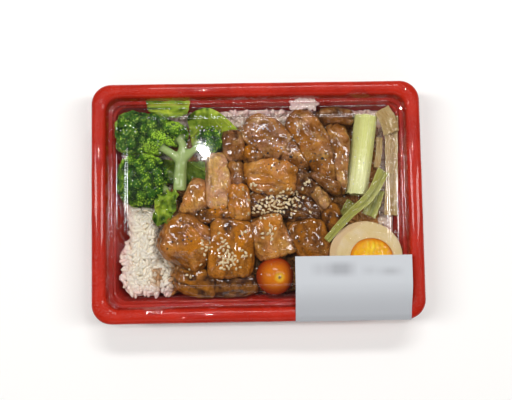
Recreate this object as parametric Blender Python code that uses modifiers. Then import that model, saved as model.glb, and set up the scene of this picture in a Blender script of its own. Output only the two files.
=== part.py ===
"""Chicken and rice bento in a red stepped tray, under a clear snap-in lid with a paper label.

Run it with: blender --background --python part.py

Sizes are in millimetres and turn into metres where a mesh is made. +Z is up, X runs along the
tray's long side, and the origin is the middle of the tray's foot.
"""

import math
from typing import NamedTuple

import bmesh
import bpy
from mathutils import Matrix, Vector, noise

MM = 0.001
GAP = 0.3  # what touching pieces keep between them

# The tray: each wall line is an inset from the outer edge, so one profile serves all four sides.
TRAY_LENGTH = 232.0
TRAY_WIDTH = 168.0
TRAY_WALL = 1.2
OUTER_CORNER = 14.0
INNER_CORNER = 8.0
CORNER_SHRINK = 0.45  # corner radius lost for each millimetre of inset
CORNER_STEPS = 4
SKIRT_BOTTOM = 29.5
RIM_EDGE = 33.0
RIM_RISE = 3.4
RIM_WIDTH = 10.0
RIM_STEPS = 7
STEP_PROFILE = ((10.3, 31.0), (10.9, 28.6), (13.2, 28.2), (13.9, 25.6), (15.2, 25.1))
FOOT_PROFILE = ((19.6, 3.4), (20.6, 1.9), (22.4, 1.2), (34.0, 1.2), (36.0, 2.4))

# The lid: its lip wedges inside the rim, and two tabs and two stacking notches break its sides.
LID_WALL = 0.5
LID_PROFILE = (
    (10.3, 33.8),
    (10.5, 33.6),
    (10.8, 33.2),
    (11.5, 30.9),
    (13.4, 30.5),
    (14.3, 33.0),
    (15.2, 37.0),
    (16.6, 40.0),
    (19.0, 41.4),
    (25.2, 41.6),
    (26.4, 42.6),
)
TAB_CENTRE = 72.5
TAB_RADIUS = 7.5
TAB_STOPS = (0.0, 22.5, 67.5, 112.5, 157.5, 180.0)  # round the tab's half circle, in degrees
TAB_REACH = (4.1, 1.3)  # how far the first two lines of the lid bulge out at a tab
TAB_RISE = (3.2, 2.9)
TAB_SWELL = 0.25  # under 1, so that a tab is already high at its ends
NOTCH_CENTRE = 0.5
NOTCH_WIDTH = 17.0
NOTCH_FLAT = 8.0
NOTCH_LINES = {5: 1.6, 6: 2.4, 7: 2.2}  # how far each wall line steps in at a notch

# The label: taped over the lid's front edge and down onto the rim.
LABEL_LEFT, LABEL_RIGHT = 25.0, 105.0
LABEL_BACK, LABEL_FRONT = -39.0, -83.9
LABEL_THICKNESS = 0.25
LABEL_FOLD = -57.0
RIM_FALL = 2.0  # how far the label drops past the rim's crown

# The food: the rice is level under the toppings and banked up where it shows.
BED = 17.0
RICE_FLOOR = 2.7
HOLLOW = (-99.0, -16.0, 5.0)  # where the front left bank falls short of the wall: x, y, reach
RICE_SIDE = ((20.5, RICE_FLOOR), (17.4, BED - 1.5))
RICE_RINGS = (17.4, 19.0, 22.0, 28.0, 35.0, 41.0, 47.0, 58.0)
LEDGE_RICE_TOP = 29.8  # just under the lid where rice is squeezed onto the tray's back ledge
CLUMP_DEPTH = 1.1
CLUMP_EDGES = (((25.5, 70.6), (34.5, 73.0), (43.5, 70.4)), ((25.0, 66.0), (34.0, 65.7), (43.0, 66.4)))
LUMP = 0.07  # height of the uneven lumps on food, as a share of its radius
PARTING_STEPS = 72


class Piece(NamedTuple):
    """A topping: its plan outline, its top, and how boxy, tapered and tilted it is."""

    name: str
    x: float
    y: float
    length: float
    width: float
    heading: float
    top: float
    boxy: float = 0.25
    taper: float = 0.0
    lean: float = 0.0
    bed: float = BED + GAP


CHICKEN = (
    Piece("chicken_back_dome", 7, 43.5, 39, 32, -38, 35.5, 0.35, 0.1, 2),
    Piece("chicken_slice_long_left", 41.5, 38, 60, 27, -60, 36.5, 0.35, 0.2, 3),
    Piece("chicken_slice_long_right", 59, 30, 53, 23, -81, 36, 0.35, 0.25, 2),
    Piece("chicken_back_corner", 57, 60, 28, 14, -3, 31.5, 0.3),
    Piece("chicken_right_tip", 49.5, 14, 27, 14, -25, 38, 0.3, 0.2),
    Piece("chicken_wedge", -15, 37.5, 29, 17, -95, 34.5, 0.2, -0.55, 6, 22.0),
    Piece("chicken_curl", -1.5, 33, 19, 15, 70, 38.5, 0.1),
    Piece("chicken_peppered", 27, 33, 28, 19, -60, 33.5, 0.25),
    Piece("chicken_skin_fold", 11, 18, 46, 28, -12, 39, 0.2, -0.15, 2),
    Piece("chicken_grain_slice", -27, 14, 43, 19, -86, 37, 0.4, 0.1, 2),
    Piece("chicken_left_lobes", -46.5, 4, 27, 27, -1, 33.5, 0.25),
    Piece("chicken_orange_fat", -13, 0, 31, 19, -85, 38, 0.2, 0.1),
    Piece("chicken_orange_base", -31, -9.5, 26, 16, 12, 34.5, 0.2),
    Piece("chicken_front_round", -49.5, -27.5, 42, 37.5, -35, 37, 0.2, 0.0, 2),
    Piece("chicken_sesame_slice", -20, -33, 47, 37, -95, 37.5, 0.45, 0.0, 3),
    Piece("chicken_middle_slice", 10, -26.5, 38, 31, -66, 36, 0.45, 0.1, 3),
    Piece("chicken_right_slice", 36, -27.5, 36, 32, -62, 34.5, 0.35, -0.1, 3),
    Piece("chicken_knob", 44.5, 0.5, 23, 15, -66, 35.5, 0.1),
    Piece("chicken_strip", 53.3, -13, 25, 14, -65, 34.5, 0.2, -0.1),
    Piece("chicken_low_left", -44, -56, 31, 21, -16, 28.5, 0.25, 0.1, 0, 21.6),
    Piece("chicken_low_middle", -16, -58, 36, 19, 3, 28.5, 0.25, -0.1),
    Piece("chicken_glazed", 33, -6.5, 28, 24, -10, 31.5, 0.25),
    Piece("chicken_seeded", 9, -3.5, 36, 23, -4, 32, 0.25),
    Piece("chicken_small", -14, 20, 24, 13, -84, 35.5, 0.2),
    Piece("chicken_dark_side", 34, 13, 26, 18, -35, 33.5, 0.2),
)

# Round and long toppings that the chicken is cut to meet, as plan outlines.
TOMATO = Piece("tomato", 11.5, -52.6, 26.8, 26.8, 0, 41.0, 0.0)
EGG = Piece("egg", 75.3, -38.8, 52.5, 47.5, 0, 35.0, 0.0)
EGG_TILT = (-7.0, 7.0)  # degrees about X and Y: the cut face looks a little right and forward
EGG_DEPTH = 21.0
YOLK = Piece("yolk", 79.2, -40.5, 31.0, 27.0, 0, 35.0, 0.0)
YOLK_DEPTH = 12.0
BROCCOLI_FRONT = Piece("broccoli_front", -81.8, 16.5, 34.5, 37.0, 0, 37.0, 0.1)
BACK_LOBES = (
    Piece("lobe_left", -87.0, 53.0, 25, 25, 0, 36.0, 0.1),
    Piece("lobe_lower_left", -89.0, 42.5, 20, 12, 0, 35.0, 0.1),
    Piece("lobe_middle", -72.5, 51.5, 22, 24, 0, 37.5, 0.1),
    Piece("lobe_right", -59.5, 50.0, 19, 15, -20, 37.0, 0.0),
    Piece("lobe_low", -71.0, 42.0, 14, 12, 0, 36.5, 0.0),
    Piece("lobe_small", -33.5, 44.5, 16, 17, 0, 37.5, 0.0, bed=23.5),
)
BACK_STEMS = (
    (((-55.0, 8.5, 28.0), 5.2), ((-54.5, 20.0, 28.5), 4.8), ((-53.0, 32.0, 30.0), 4.2)),
    (((-53.5, 29.0, 29.5), 4.0), ((-59.5, 34.5, 30.5), 3.2), ((-69.0, 40.0, 31.0), 2.8)),
    (((-53.2, 30.0, 29.5), 4.0), ((-52.0, 41.0, 31.0), 3.2), ((-57.0, 49.0, 31.0), 3.0)),
    (((-53.0, 29.5, 29.5), 3.8), ((-45.5, 36.5, 30.5), 2.7), ((-35.0, 43.0, 30.5), 2.6)),
)
FRONT_STEM = (((-70.0, 12.0, 25.0), 4.5), ((-63.6, 8.0, 25.0), 3.0))
LEEK_ENDS = ((79.2, 60.0, 25.8), (70.6, 4.0, 25.8))
LEEK_RADII = (8.3, 8.0)
LEEK_SIDES = 16


def clear_scene():
    """Empty the scene of whatever it opened with."""
    for item in list(bpy.data.objects):
        bpy.data.objects.remove(item, do_unlink=True)


def new_collection(name):
    group = bpy.data.collections.new(name)
    bpy.context.scene.collection.children.link(group)
    return group


def finish(name, colour, roughness, alpha=1.0):
    """A material with the piece's colour and gloss."""
    material = bpy.data.materials.new(name)
    material.use_nodes = True
    shader = material.node_tree.nodes["Principled BSDF"]
    shader.inputs["Base Color"].default_value = (*colour, 1.0)
    shader.inputs["Roughness"].default_value = roughness
    shader.inputs["Alpha"].default_value = alpha
    return material


def place(mesh, name, group, material, wall=None, offset=-1.0, even=True):
    """Turn a bmesh into an object of the group, with a wall if it is an open sheet."""
    data = bpy.data.meshes.new(name)
    mesh.to_mesh(data)
    mesh.free()
    data.shade_smooth()
    data.set_sharp_from_angle(angle=math.radians(40))
    data.materials.append(material)
    item = bpy.data.objects.new(name, data)
    group.objects.link(item)
    if wall is not None:
        shell = item.modifiers.new("Wall", "SOLIDIFY")
        shell.thickness = wall * MM
        shell.offset = offset
        shell.use_even_offset = even
    return item


def hide(item):
    """Keep a helper out of the model."""
    item.hide_render = True
    item.display_type = "WIRE"
    return item


def join(item, helper):
    union = item.modifiers.new("Join " + helper.name, "BOOLEAN")
    union.operation = "UNION"
    union.object = hide(helper)


def loft(rings, close_first=False, close_last=False):
    """A skin over closed rings of points, which run anticlockwise seen from above."""
    mesh = bmesh.new()
    rows = [[mesh.verts.new(Vector(point) * MM) for point in ring] for ring in rings]
    for outer, inner in zip(rows, rows[1:]):
        for i in range(len(outer)):
            j = (i + 1) % len(outer)
            mesh.faces.new((outer[i], outer[j], inner[j], inner[i]))
    if close_first:
        mesh.faces.new(list(reversed(rows[0])))
    if close_last:
        mesh.faces.new(rows[-1])
    if close_first and close_last:
        bmesh.ops.recalc_face_normals(mesh, faces=mesh.faces[:])
    return mesh


def sheet(rows):
    """An open sheet through rows of points."""
    mesh = bmesh.new()
    grid = [[mesh.verts.new(Vector(point) * MM) for point in row] for row in rows]
    for first, second in zip(grid, grid[1:]):
        for i in range(len(first) - 1):
            mesh.faces.new((first[i], first[i + 1], second[i + 1], second[i]))
    return mesh


def tube(route, sides=8):
    """A closed tube along ((x, y, z), radius) stops."""
    centres = [Vector(point) for point, _ in route]
    rings = []
    for i, (point, radius) in enumerate(route):
        along = centres[min(i + 1, len(route) - 1)] - centres[max(i - 1, 0)]
        turn = along.to_track_quat("Z", "Y")
        ring = []
        for side in range(sides):
            angle = 2 * math.pi * side / sides
            spoke = Vector((radius * math.cos(angle), radius * math.sin(angle), 0.0))
            ring.append(Vector(point) + turn @ spoke)
        rings.append(ring)
    return loft(rings, close_first=True, close_last=True)


def blend(value, low, high):
    """0 at low and 1 at high, with soft ends; low may be the greater."""
    share = min(max((value - low) / (high - low), 0.0), 1.0)
    return share * share * (3.0 - 2.0 * share)


def half_outline(inset, long_stops=(), short_stops=()):
    """Half a turn of the rounded rectangle at an inset; its sides take stops as shares of -1 to 1."""
    half_x = TRAY_LENGTH / 2 - inset
    half_y = TRAY_WIDTH / 2 - inset
    radius = max(INNER_CORNER, OUTER_CORNER - CORNER_SHRINK * inset)
    flat_x, flat_y = half_x - radius, half_y - radius

    def corner(side, start):
        for step in range(CORNER_STEPS + 1):
            angle = math.radians(start + 90.0 * step / CORNER_STEPS)
            yield (side * flat_x + radius * math.cos(angle), flat_y + radius * math.sin(angle))

    points = list(corner(1, 0))
    points += [(flat_x * stop, half_y) for stop in long_stops]
    points += list(corner(-1, 90))
    points += [(-half_x, flat_y * stop) for stop in short_stops]
    return points


def turned_ring(half):
    """A whole ring from its half, which repeats half a turn on."""
    return [Vector(point) for point in half] + [Vector((-x, -y, z)) for x, y, z in half]


def tray_ring(inset, height):
    return turned_ring([(x, y, height) for x, y in half_outline(inset)])


def build_tray(group):
    """The tray's visible skin, from the skirt over the rolled rim and down its steps to the foot."""
    rings = [tray_ring(0.0, SKIRT_BOTTOM)]
    for step in range(RIM_STEPS + 1):
        turn = math.pi * step / RIM_STEPS
        inset = RIM_WIDTH / 2 * (1.0 - math.cos(turn))
        rings.append(tray_ring(inset, RIM_EDGE + RIM_RISE * math.sin(turn)))
    rings += [tray_ring(inset, height) for inset, height in STEP_PROFILE + FOOT_PROFILE]
    red = finish("red plastic", (0.60, 0.035, 0.02), 0.25)
    return place(loft(rings, close_last=True), "tray", group, red, TRAY_WALL)


def lid_stops():
    """Where the lid's long side needs a point, as (x, share of the tab, share of the notch)."""
    stops = []
    for degrees in TAB_STOPS:
        angle = math.radians(degrees)
        stops.append((TAB_CENTRE + TAB_RADIUS * math.cos(angle), math.sin(angle), 0.0))
    for offset, share in ((0.5, 0.0), (0.5 * NOTCH_FLAT / NOTCH_WIDTH, 1.0)):
        stops.append((NOTCH_CENTRE + NOTCH_WIDTH * offset, 0.0, share))
        stops.append((NOTCH_CENTRE - NOTCH_WIDTH * offset, 0.0, share))
    return sorted(stops, reverse=True)


def lid_ring(line, inset, height, stops):
    """One line of the lid, bulged at the tab and stepped in at the notch."""
    reach = TAB_REACH[line] if line < len(TAB_REACH) else 0.0
    rise = TAB_RISE[line] if line < len(TAB_RISE) else 0.0
    step_in = NOTCH_LINES.get(line, 0.0)
    lip_flat = TRAY_LENGTH / 2 - LID_PROFILE[0][0] - INNER_CORNER
    shares = [x / lip_flat for x, _, _ in stops]
    points = half_outline(inset, shares)
    ring = []
    for i, (x, y) in enumerate(points):
        stop = i - (CORNER_STEPS + 1)
        tab, notch = stops[stop][1:] if 0 <= stop < len(stops) else (0.0, 0.0)
        ring.append((x, y + reach * tab - step_in * notch, height + rise * tab**TAB_SWELL))
    return turned_ring(ring)


def build_lid(group):
    stops = lid_stops()
    rings = [
        lid_ring(line, inset, height, stops) for line, (inset, height) in enumerate(LID_PROFILE)
    ]
    clear = finish("clear plastic", (0.9, 0.9, 0.9), 0.05, alpha=0.25)
    return place(loft(rings, close_last=True), "lid", group, clear, LID_WALL, even=False)


def label_height(y):
    """Flat on the lid's panel, sloping from its edge down to the rim and over it."""
    panel = LID_PROFILE[-1][1] + GAP
    rim = RIM_EDGE + RIM_RISE + GAP
    slope = panel + (rim + 0.2 - panel) * blend(y, LABEL_FOLD, -TRAY_WIDTH / 2 + 2.0)
    return slope - RIM_FALL * blend(y, -79.5, -85.5)


def build_label(group):
    columns, rows = 2, 9
    grid = []
    for row in range(rows + 1):
        y = LABEL_FRONT + (LABEL_BACK - LABEL_FRONT) * row / rows
        line = []
        for column in range(columns + 1):
            x = LABEL_LEFT + (LABEL_RIGHT - LABEL_LEFT) * column / columns
            line.append((x, y, label_height(y)))
        grid.append(line)
    paper = finish("label paper", (0.85, 0.87, 0.90), 0.55)
    return place(sheet(grid), "label", group, paper, LABEL_THICKNESS, offset=1.0)


def rice_height(x, y):
    """Level under the toppings, banked at the front left, along the back and at the right."""
    edge = -69.5 + 9.0 * blend(y, -46.0, -56.0)
    front_left = 9.5 * blend(x, edge, edge - 6.0) * blend(y, -4.0, -12.0)
    front_left *= blend(math.hypot(x - HOLLOW[0], y - HOLLOW[1]), HOLLOW[2], HOLLOW[2] + 7.0)
    back = 7.0 * blend(y, 61.5, 65.0) * blend(abs(x - 8.0), 28.0, 20.0)
    right = 5.5 * blend(x, 86.0, 92.0) * blend(abs(y + 2.0), 14.0, 8.0)
    bumps = 0.8 * noise.noise(Vector((x, y, 5.0)) * 0.11)
    return BED - 1.0 + max(front_left, back, right) + bumps


def build_rice(group):
    """One pressed bed out to its uneven top, and a clump squeezed up onto the tray's back ledge."""
    long_stops = [0.85 - 1.7 * i / 7 for i in range(8)]
    short_stops = [0.7 - 1.4 * i / 4 for i in range(5)]
    rings = []
    for inset, height in RICE_SIDE:
        outline = half_outline(inset, long_stops, short_stops)
        rings.append(turned_ring([(x, y, height) for x, y in outline]))
    for inset in RICE_RINGS:
        outline = half_outline(inset, long_stops, short_stops)
        ring = turned_ring([(x, y, 0.0) for x, y in outline])
        rings.append([Vector((p.x, p.y, rice_height(p.x, p.y))) for p in ring])
    white = finish("cooked rice", (0.78, 0.76, 0.68), 0.45)
    place(loft(rings, close_first=True, close_last=True), "rice", group, white)

    def clump(u, v):
        crown = 1.0 - blend(abs(u - 0.45), 0.1, 0.5)
        return LEDGE_RICE_TOP + 2.0 * crown * (1.0 - blend(v, 0.1, 0.5))

    mesh = leaf_between(*CLUMP_EDGES, clump, 5, 4)
    place(mesh, "rice_clump", group, white, CLUMP_DEPTH)


def reach(piece, angle):
    """How far a piece's plan outline extends in a direction, from its centre."""
    turn = angle - math.radians(piece.heading)
    along = piece.length / 2 * abs(math.cos(turn))
    across = piece.width / 2 * abs(math.sin(turn))
    rounded = math.hypot(along, across)
    return rounded + (along + across - rounded) * piece.boxy


def parting(piece, other):
    """The direction in which two outlines are furthest apart, and the gap between them there."""
    away = Vector((other.x - piece.x, other.y - piece.y))
    best = None
    for step in range(PARTING_STEPS):
        angle = 2 * math.pi * step / PARTING_STEPS
        direction = Vector((math.cos(angle), math.sin(angle)))
        gap = away.dot(direction) - reach(piece, angle) - reach(other, angle)
        if best is None or gap > best[0]:
            best = (gap, angle, direction)
    return best


def trim(mesh, point, normal):
    """Cut away what lies beyond a plane and close the cut."""
    everything = mesh.verts[:] + mesh.edges[:] + mesh.faces[:]
    cut = bmesh.ops.bisect_plane(
        mesh, geom=everything, dist=1e-6, plane_co=point, plane_no=normal, clear_outer=True
    )["geom_cut"]
    edges = [part for part in cut if isinstance(part, bmesh.types.BMEdge)]
    if edges:
        bmesh.ops.holes_fill(mesh, edges=edges)


def trim_to(mesh, piece, other, share):
    """Cut a piece where its outline crosses another's; share is its part of the overlap."""
    gap, angle, direction = parting(piece, other)
    if gap > 0.2 * min(piece.width, other.width):
        return
    distance = reach(piece, angle) + min(gap, 0.0) * share - GAP / 2
    if gap > 0.0:
        distance += gap * share
    point = Vector((piece.x, piece.y)) + direction * distance
    trim(mesh, Vector((*point, 0.0)) * MM, Vector((*direction, 0.0)))


def soft_block(piece, seed, cuts=2):
    """An uneven rounded block with a flat underside, from a coarse cage."""
    mesh = bmesh.new()
    bmesh.ops.create_cube(mesh, size=2.0)
    bmesh.ops.subdivide_edges(mesh, edges=mesh.edges[:], cuts=cuts, use_grid_fill=True)
    rise = piece.top - piece.bed
    half = Vector((piece.length / 2, piece.width / 2, rise * 0.62))
    centre = Vector((piece.x, piece.y, piece.top - half.z))
    turn = Matrix.Rotation(math.radians(piece.heading), 3, "Z")
    tilt = Matrix.Rotation(math.radians(piece.lean), 3, "Y")
    for vert in mesh.verts:
        ball = vert.co.normalized()
        form = ball.lerp(vert.co, piece.boxy)
        form *= 1.0 + LUMP * noise.noise(ball * 1.7 + Vector((seed, 0.0, 0.0)))
        form.y *= 1.0 + piece.taper * form.x
        form = tilt @ Vector((form.x * half.x, form.y * half.y, form.z * half.z))
        vert.co = (centre + turn @ form) * MM
    trim(mesh, Vector((0.0, 0.0, piece.bed)) * MM, Vector((0.0, 0.0, -1.0)))
    return mesh


def build_chicken(group, neighbours):
    """Each chunk is cut flat where it meets another chunk, and stops short of the rest."""
    brown = finish("glazed chicken", (0.50, 0.22, 0.07), 0.3)
    for seed, piece in enumerate(CHICKEN):
        mesh = soft_block(piece, 3.7 * seed)
        for other in CHICKEN:
            if other is not piece:
                trim_to(mesh, piece, other, 0.5)
        for other in neighbours:
            trim_to(mesh, piece, other, 1.0)
        place(mesh, piece.name, group, brown)


def build_broccoli(group, helpers):
    green = finish("broccoli", (0.10, 0.26, 0.03), 0.6)
    front = place(soft_block(BROCCOLI_FRONT, 60.0, cuts=3), BROCCOLI_FRONT.name, group, green)
    join(front, place(tube(FRONT_STEM), "front_stub", helpers, green))
    trunk = place(tube(BACK_STEMS[0]), "broccoli_back", group, green)
    for number, route in enumerate(BACK_STEMS[1:]):
        join(trunk, place(tube(route), f"branch_{number}", helpers, green))
    for seed, lobe in enumerate(BACK_LOBES):
        join(trunk, place(soft_block(lobe, 70.0 + seed), lobe.name, helpers, green))


def build_tomato(group):
    mesh = bmesh.new()
    bmesh.ops.create_uvsphere(mesh, u_segments=16, v_segments=9, radius=1.0)
    height = TOMATO.top - BED - GAP
    for vert in mesh.verts:
        dimple = 0.08 * max(0.0, 1.0 - vert.co.xy.length / 0.35) if vert.co.z > 0.0 else 0.0
        x = TOMATO.x + vert.co.x * TOMATO.length / 2
        y = TOMATO.y + vert.co.y * TOMATO.width / 2
        z = BED + GAP + height * (0.5 + (0.5 - dimple) * vert.co.z)
        vert.co = Vector((x, y, z)) * MM
    trim(mesh, Vector((0.0, 0.0, BED + 2 * GAP)) * MM, Vector((0.0, 0.0, -1.0)))
    place(mesh, "tomato", group, finish("tomato skin", (0.72, 0.12, 0.01), 0.15))


def egg_form(piece, depth, extra=0.0):
    """Half an egg, cut face up and tilted, grown all over by extra."""
    mesh = bmesh.new()
    bmesh.ops.create_uvsphere(mesh, u_segments=18, v_segments=10, radius=1.0)
    scale = Vector((piece.length / 2 + extra, piece.width / 2 + extra, depth + extra))
    for vert in mesh.verts:
        vert.co = Vector(vert.co * scale) * MM
    face = Vector((0.0, 0.0, extra)) * MM
    trim(mesh, face, Vector((0.0, 0.0, 1.0)))
    tilt = Matrix.Rotation(math.radians(EGG_TILT[0]), 4, "X")
    tilt = tilt @ Matrix.Rotation(math.radians(EGG_TILT[1]), 4, "Y")
    middle = Matrix.Translation(Vector((EGG.x, EGG.y, EGG.top)) * MM)
    aside = Matrix.Translation(Vector((piece.x - EGG.x, piece.y - EGG.y, 0.0)) * MM)
    mesh.transform(middle @ tilt @ aside)
    return mesh


def build_egg(group, helpers):
    """The white has a hollow for the yolk, and rests on a small flat."""
    white_mesh = egg_form(EGG, EGG_DEPTH)
    trim(white_mesh, Vector((0.0, 0.0, BED + GAP)) * MM, Vector((0.0, 0.0, -1.0)))
    white = place(white_mesh, "egg_white", group, finish("egg white", (0.80, 0.68, 0.50), 0.3))
    yolk = finish("egg yolk", (0.85, 0.36, 0.01), 0.25)
    hollow = hide(place(egg_form(YOLK, YOLK_DEPTH, GAP), "yolk_hollow", helpers, yolk))
    cut = white.modifiers.new("Hollow", "BOOLEAN")
    cut.operation = "DIFFERENCE"
    cut.object = hollow
    place(egg_form(YOLK, YOLK_DEPTH), "egg_yolk", group, yolk)


def strip(route, width, cup, narrowing=0.0, across=4):
    """A leaf strip along a route, cupped upwards by cup at its edges, narrower at its end."""
    centres = [Vector(point) for point in route]
    rows = []
    for i, centre in enumerate(centres):
        along = centres[min(i + 1, len(centres) - 1)] - centres[max(i - 1, 0)]
        side = Vector((along.y, -along.x, 0.0)).normalized()
        row = []
        for step in range(across + 1):
            share = 2.0 * step / across - 1.0
            half = width / 2 * (1.0 - narrowing * i / (len(centres) - 1))
            point = centre + side * share * half
            point.z += cup * share * share
            row.append(point)
        rows.append(row)
    return sheet(rows)


def build_leek(group):
    """A white length of stalk with loose outer skins and green leaf strips beside it."""
    pale = finish("leek white", (0.66, 0.68, 0.36), 0.35)
    stalk = tuple(zip(LEEK_ENDS, LEEK_RADII))
    place(tube(stalk, LEEK_SIDES), "leek_stalk", group, pale)
    skin = finish("leek skin", (0.45, 0.30, 0.13), 0.4)
    leaf = finish("leek leaf", (0.34, 0.36, 0.08), 0.35)
    long_skin = ((97.0, 60.0, 28.5), (96.5, 43.0, 28.0), (96.2, 20.0, 27.0), (94.8, -11.5, 26.0))
    wrap = ((89.0, 64.0, 33.6), (93.5, 56.5, 33.4), (96.5, 47.0, 31.5))
    side_skin = ((88.6, 45.0, 25.0), (87.6, 33.0, 26.0), (86.0, 23.0, 26.0))
    long_leaf = ((89.5, 20.5, 32.0), (79.2, 3.0, 36.2), (61.0, -13.5, 37.5), (47.5, -28.5, 36.5))
    short_leaf = ((86.0, 7.5, 27.0), (82.0, -4.0, 28.0), (78.5, -11.5, 29.0))
    dark_leaf = ((68.0, -0.5, 22.0), (64.5, -6.0, 22.5), (62.5, -11.0, 21.0))
    place(strip(long_skin, 9.0, 1.0), "leek_skin_long", group, skin, 0.9)
    place(strip(wrap, 12.0, -1.5), "leek_skin_wrap", group, skin, 0.9)
    place(strip(side_skin, 4.5, 0.6), "leek_skin_side", group, skin, 0.9)
    place(strip(long_leaf, 8.5, 1.0, 0.5), "leek_leaf_long", group, leaf, 1.0)
    place(strip(short_leaf, 10.0, 1.2), "leek_leaf_short", group, leaf, 1.0)
    place(strip(dark_leaf, 7.0, 0.8), "leek_leaf_dark", group, leaf, 1.0)


def leaf_between(back, front, height, columns, rows):
    """A leaf sheet between a back and a front edge, each given by its ends and its middle."""
    def along(edge, share):
        start, middle, end = (Vector(point) for point in edge)
        bend = 2.0 * middle - (start + end) / 2.0
        return start * (1 - share) ** 2 + bend * 2 * share * (1 - share) + end * share**2

    grid = []
    for row in range(rows + 1):
        line = []
        for column in range(columns + 1):
            u, v = column / columns, row / rows
            spot = along(front, u).lerp(along(back, u), v)
            line.append((spot.x, spot.y, height(u, v)))
        grid.append(line)
    return sheet(grid)


def build_leaves(group):
    """Lettuce: a folded leaf at the back, a scrap caught on the tray's ledge, a frill and a bed leaf."""
    fresh = finish("lettuce", (0.24, 0.42, 0.03), 0.4)

    def folded(u, v):
        crest = 1.0 - blend(abs(u - 0.48), 0.0, 0.5)
        return 19.6 + blend(v, 0.5, 1.0) * (3.0 + 13.0 * crest)

    back_edge = ((-50.0, 62.5), (-31.0, 65.5), (-11.0, 50.5))
    front_edge = ((-43.0, 37.5), (-32.0, 35.0), (-23.5, 38.5))
    mesh = leaf_between(back_edge, front_edge, folded, 6, 5)
    place(mesh, "lettuce_folded", group, fresh, 1.0)

    def ledge_scrap(u, v):
        return 35.0 - 5.4 * blend(v, 0.15, 0.72) + 1.2 * math.sin(9.0 * u) * (1.0 - blend(v, 0.2, 0.7))

    back_edge = ((-77.5, 72.9), (-62.0, 73.1), (-47.5, 72.9))
    front_edge = ((-70.0, 64.6), (-59.0, 59.5), (-52.5, 60.0))
    mesh = leaf_between(back_edge, front_edge, ledge_scrap, 6, 5)
    place(mesh, "lettuce_ledge", group, fresh, 0.7)

    def frill(u, v):
        return 31.5 + 1.8 * math.sin(7.5 * v + 2.0) * (0.4 + u) + 1.5 * math.cos(6.0 * u)

    back_edge = ((-66.5, 4.5), (-61.5, 8.0), (-54.5, 6.0))
    front_edge = ((-71.5, -13.0), (-65.5, -15.5), (-62.0, -9.0))
    mesh = leaf_between(back_edge, front_edge, frill, 5, 6)
    place(mesh, "lettuce_frill", group, fresh, 1.0)

    def bed_leaf(u, v):
        return 20.5 + 1.2 * math.sin(5.0 * u + 4.0 * v)

    back_edge = ((-60.0, 31.0), (-48.0, 29.5), (-37.0, 29.0))
    front_edge = ((-60.5, 18.5), (-48.0, 18.0), (-38.0, 18.5))
    mesh = leaf_between(back_edge, front_edge, bed_leaf, 4, 3)
    place(mesh, "lettuce_bed", group, fresh, 1.0)


def build():
    clear_scene()
    group = new_collection("Bento")
    helpers = new_collection("Helpers")
    build_tray(group)
    build_lid(group)
    build_label(group)
    build_rice(group)
    stalk_middle = [(a + b) / 2 for a, b in zip(*LEEK_ENDS)]
    stalk = Piece("stalk", *stalk_middle[:2], 57.0, 18.0, 81.3, 34.0, 0.9)
    trunk = Piece("trunk", -54.0, 20.0, 28.0, 12.0, 86.0, 34.0, 0.7)
    build_chicken(group, (TOMATO, EGG, BROCCOLI_FRONT, BACK_LOBES[-1], stalk, trunk))
    build_broccoli(group, helpers)
    build_tomato(group)
    build_egg(group, helpers)
    build_leek(group)
    build_leaves(group)


build()
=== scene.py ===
"""Looks of a packed chicken and rice bento: a red tray, its clear lid and label, and the food inside.

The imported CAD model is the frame. Each piece below is modelled in that frame and stands for the plain
solid of its node, so its place comes from the node's box, its mesh or the driving sizes of its class.
Sizes are in millimetres and turn into metres where a mesh is made.
"""

import logging
import math
import random
from contextlib import contextmanager
from dataclasses import dataclass
from enum import Enum
from typing import Any, Callable, Iterator, Sequence

import bmesh
import bpy
import numpy as np
from mathutils import Euler, Matrix, Vector
from mathutils.bvhtree import BVHTree
from mathutils.kdtree import KDTree


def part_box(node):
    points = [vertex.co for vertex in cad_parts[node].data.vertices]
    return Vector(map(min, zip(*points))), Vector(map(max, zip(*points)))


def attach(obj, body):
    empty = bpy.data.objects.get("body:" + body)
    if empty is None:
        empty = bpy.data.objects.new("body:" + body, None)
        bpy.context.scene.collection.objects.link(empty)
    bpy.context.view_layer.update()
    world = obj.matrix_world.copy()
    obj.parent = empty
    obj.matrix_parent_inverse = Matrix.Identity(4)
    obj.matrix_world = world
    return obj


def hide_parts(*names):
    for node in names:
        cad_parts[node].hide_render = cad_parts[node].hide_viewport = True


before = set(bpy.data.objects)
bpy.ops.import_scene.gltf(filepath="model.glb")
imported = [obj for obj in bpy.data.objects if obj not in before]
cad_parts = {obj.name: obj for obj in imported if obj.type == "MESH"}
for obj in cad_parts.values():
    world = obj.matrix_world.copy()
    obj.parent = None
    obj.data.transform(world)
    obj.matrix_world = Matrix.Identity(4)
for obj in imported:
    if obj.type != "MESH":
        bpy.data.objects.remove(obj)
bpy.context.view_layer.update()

MM = 0.001
ABOVE_ALL = 60
log = logging.getLogger("bento")

Piece, Material = bpy.types.Object, bpy.types.Material
NodeTree, Socket = bpy.types.NodeTree, bpy.types.NodeSocket
Array = np.ndarray
Colour = tuple[float, float, float]
Place = tuple[float, float, float]
Pair = tuple[float, float]
Form = tuple[Array, Array]  # points in millimetres, and faces as rows of corner numbers


# ---- modelling helpers


def deselect_all() -> None:
    """Leave nothing selected, so that an operator acts only on what comes next."""
    bpy.ops.object.select_all(action="DESELECT")


def make_active(piece: Piece) -> None:
    """Select one piece alone and make it the active object."""
    deselect_all()
    piece.select_set(True)
    bpy.context.view_layer.objects.active = piece


def linked(name: str, data: Any) -> Piece:
    """A new object for some data, linked to the scene."""
    piece = bpy.data.objects.new(name, data)
    bpy.context.scene.collection.objects.link(piece)
    return piece


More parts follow.
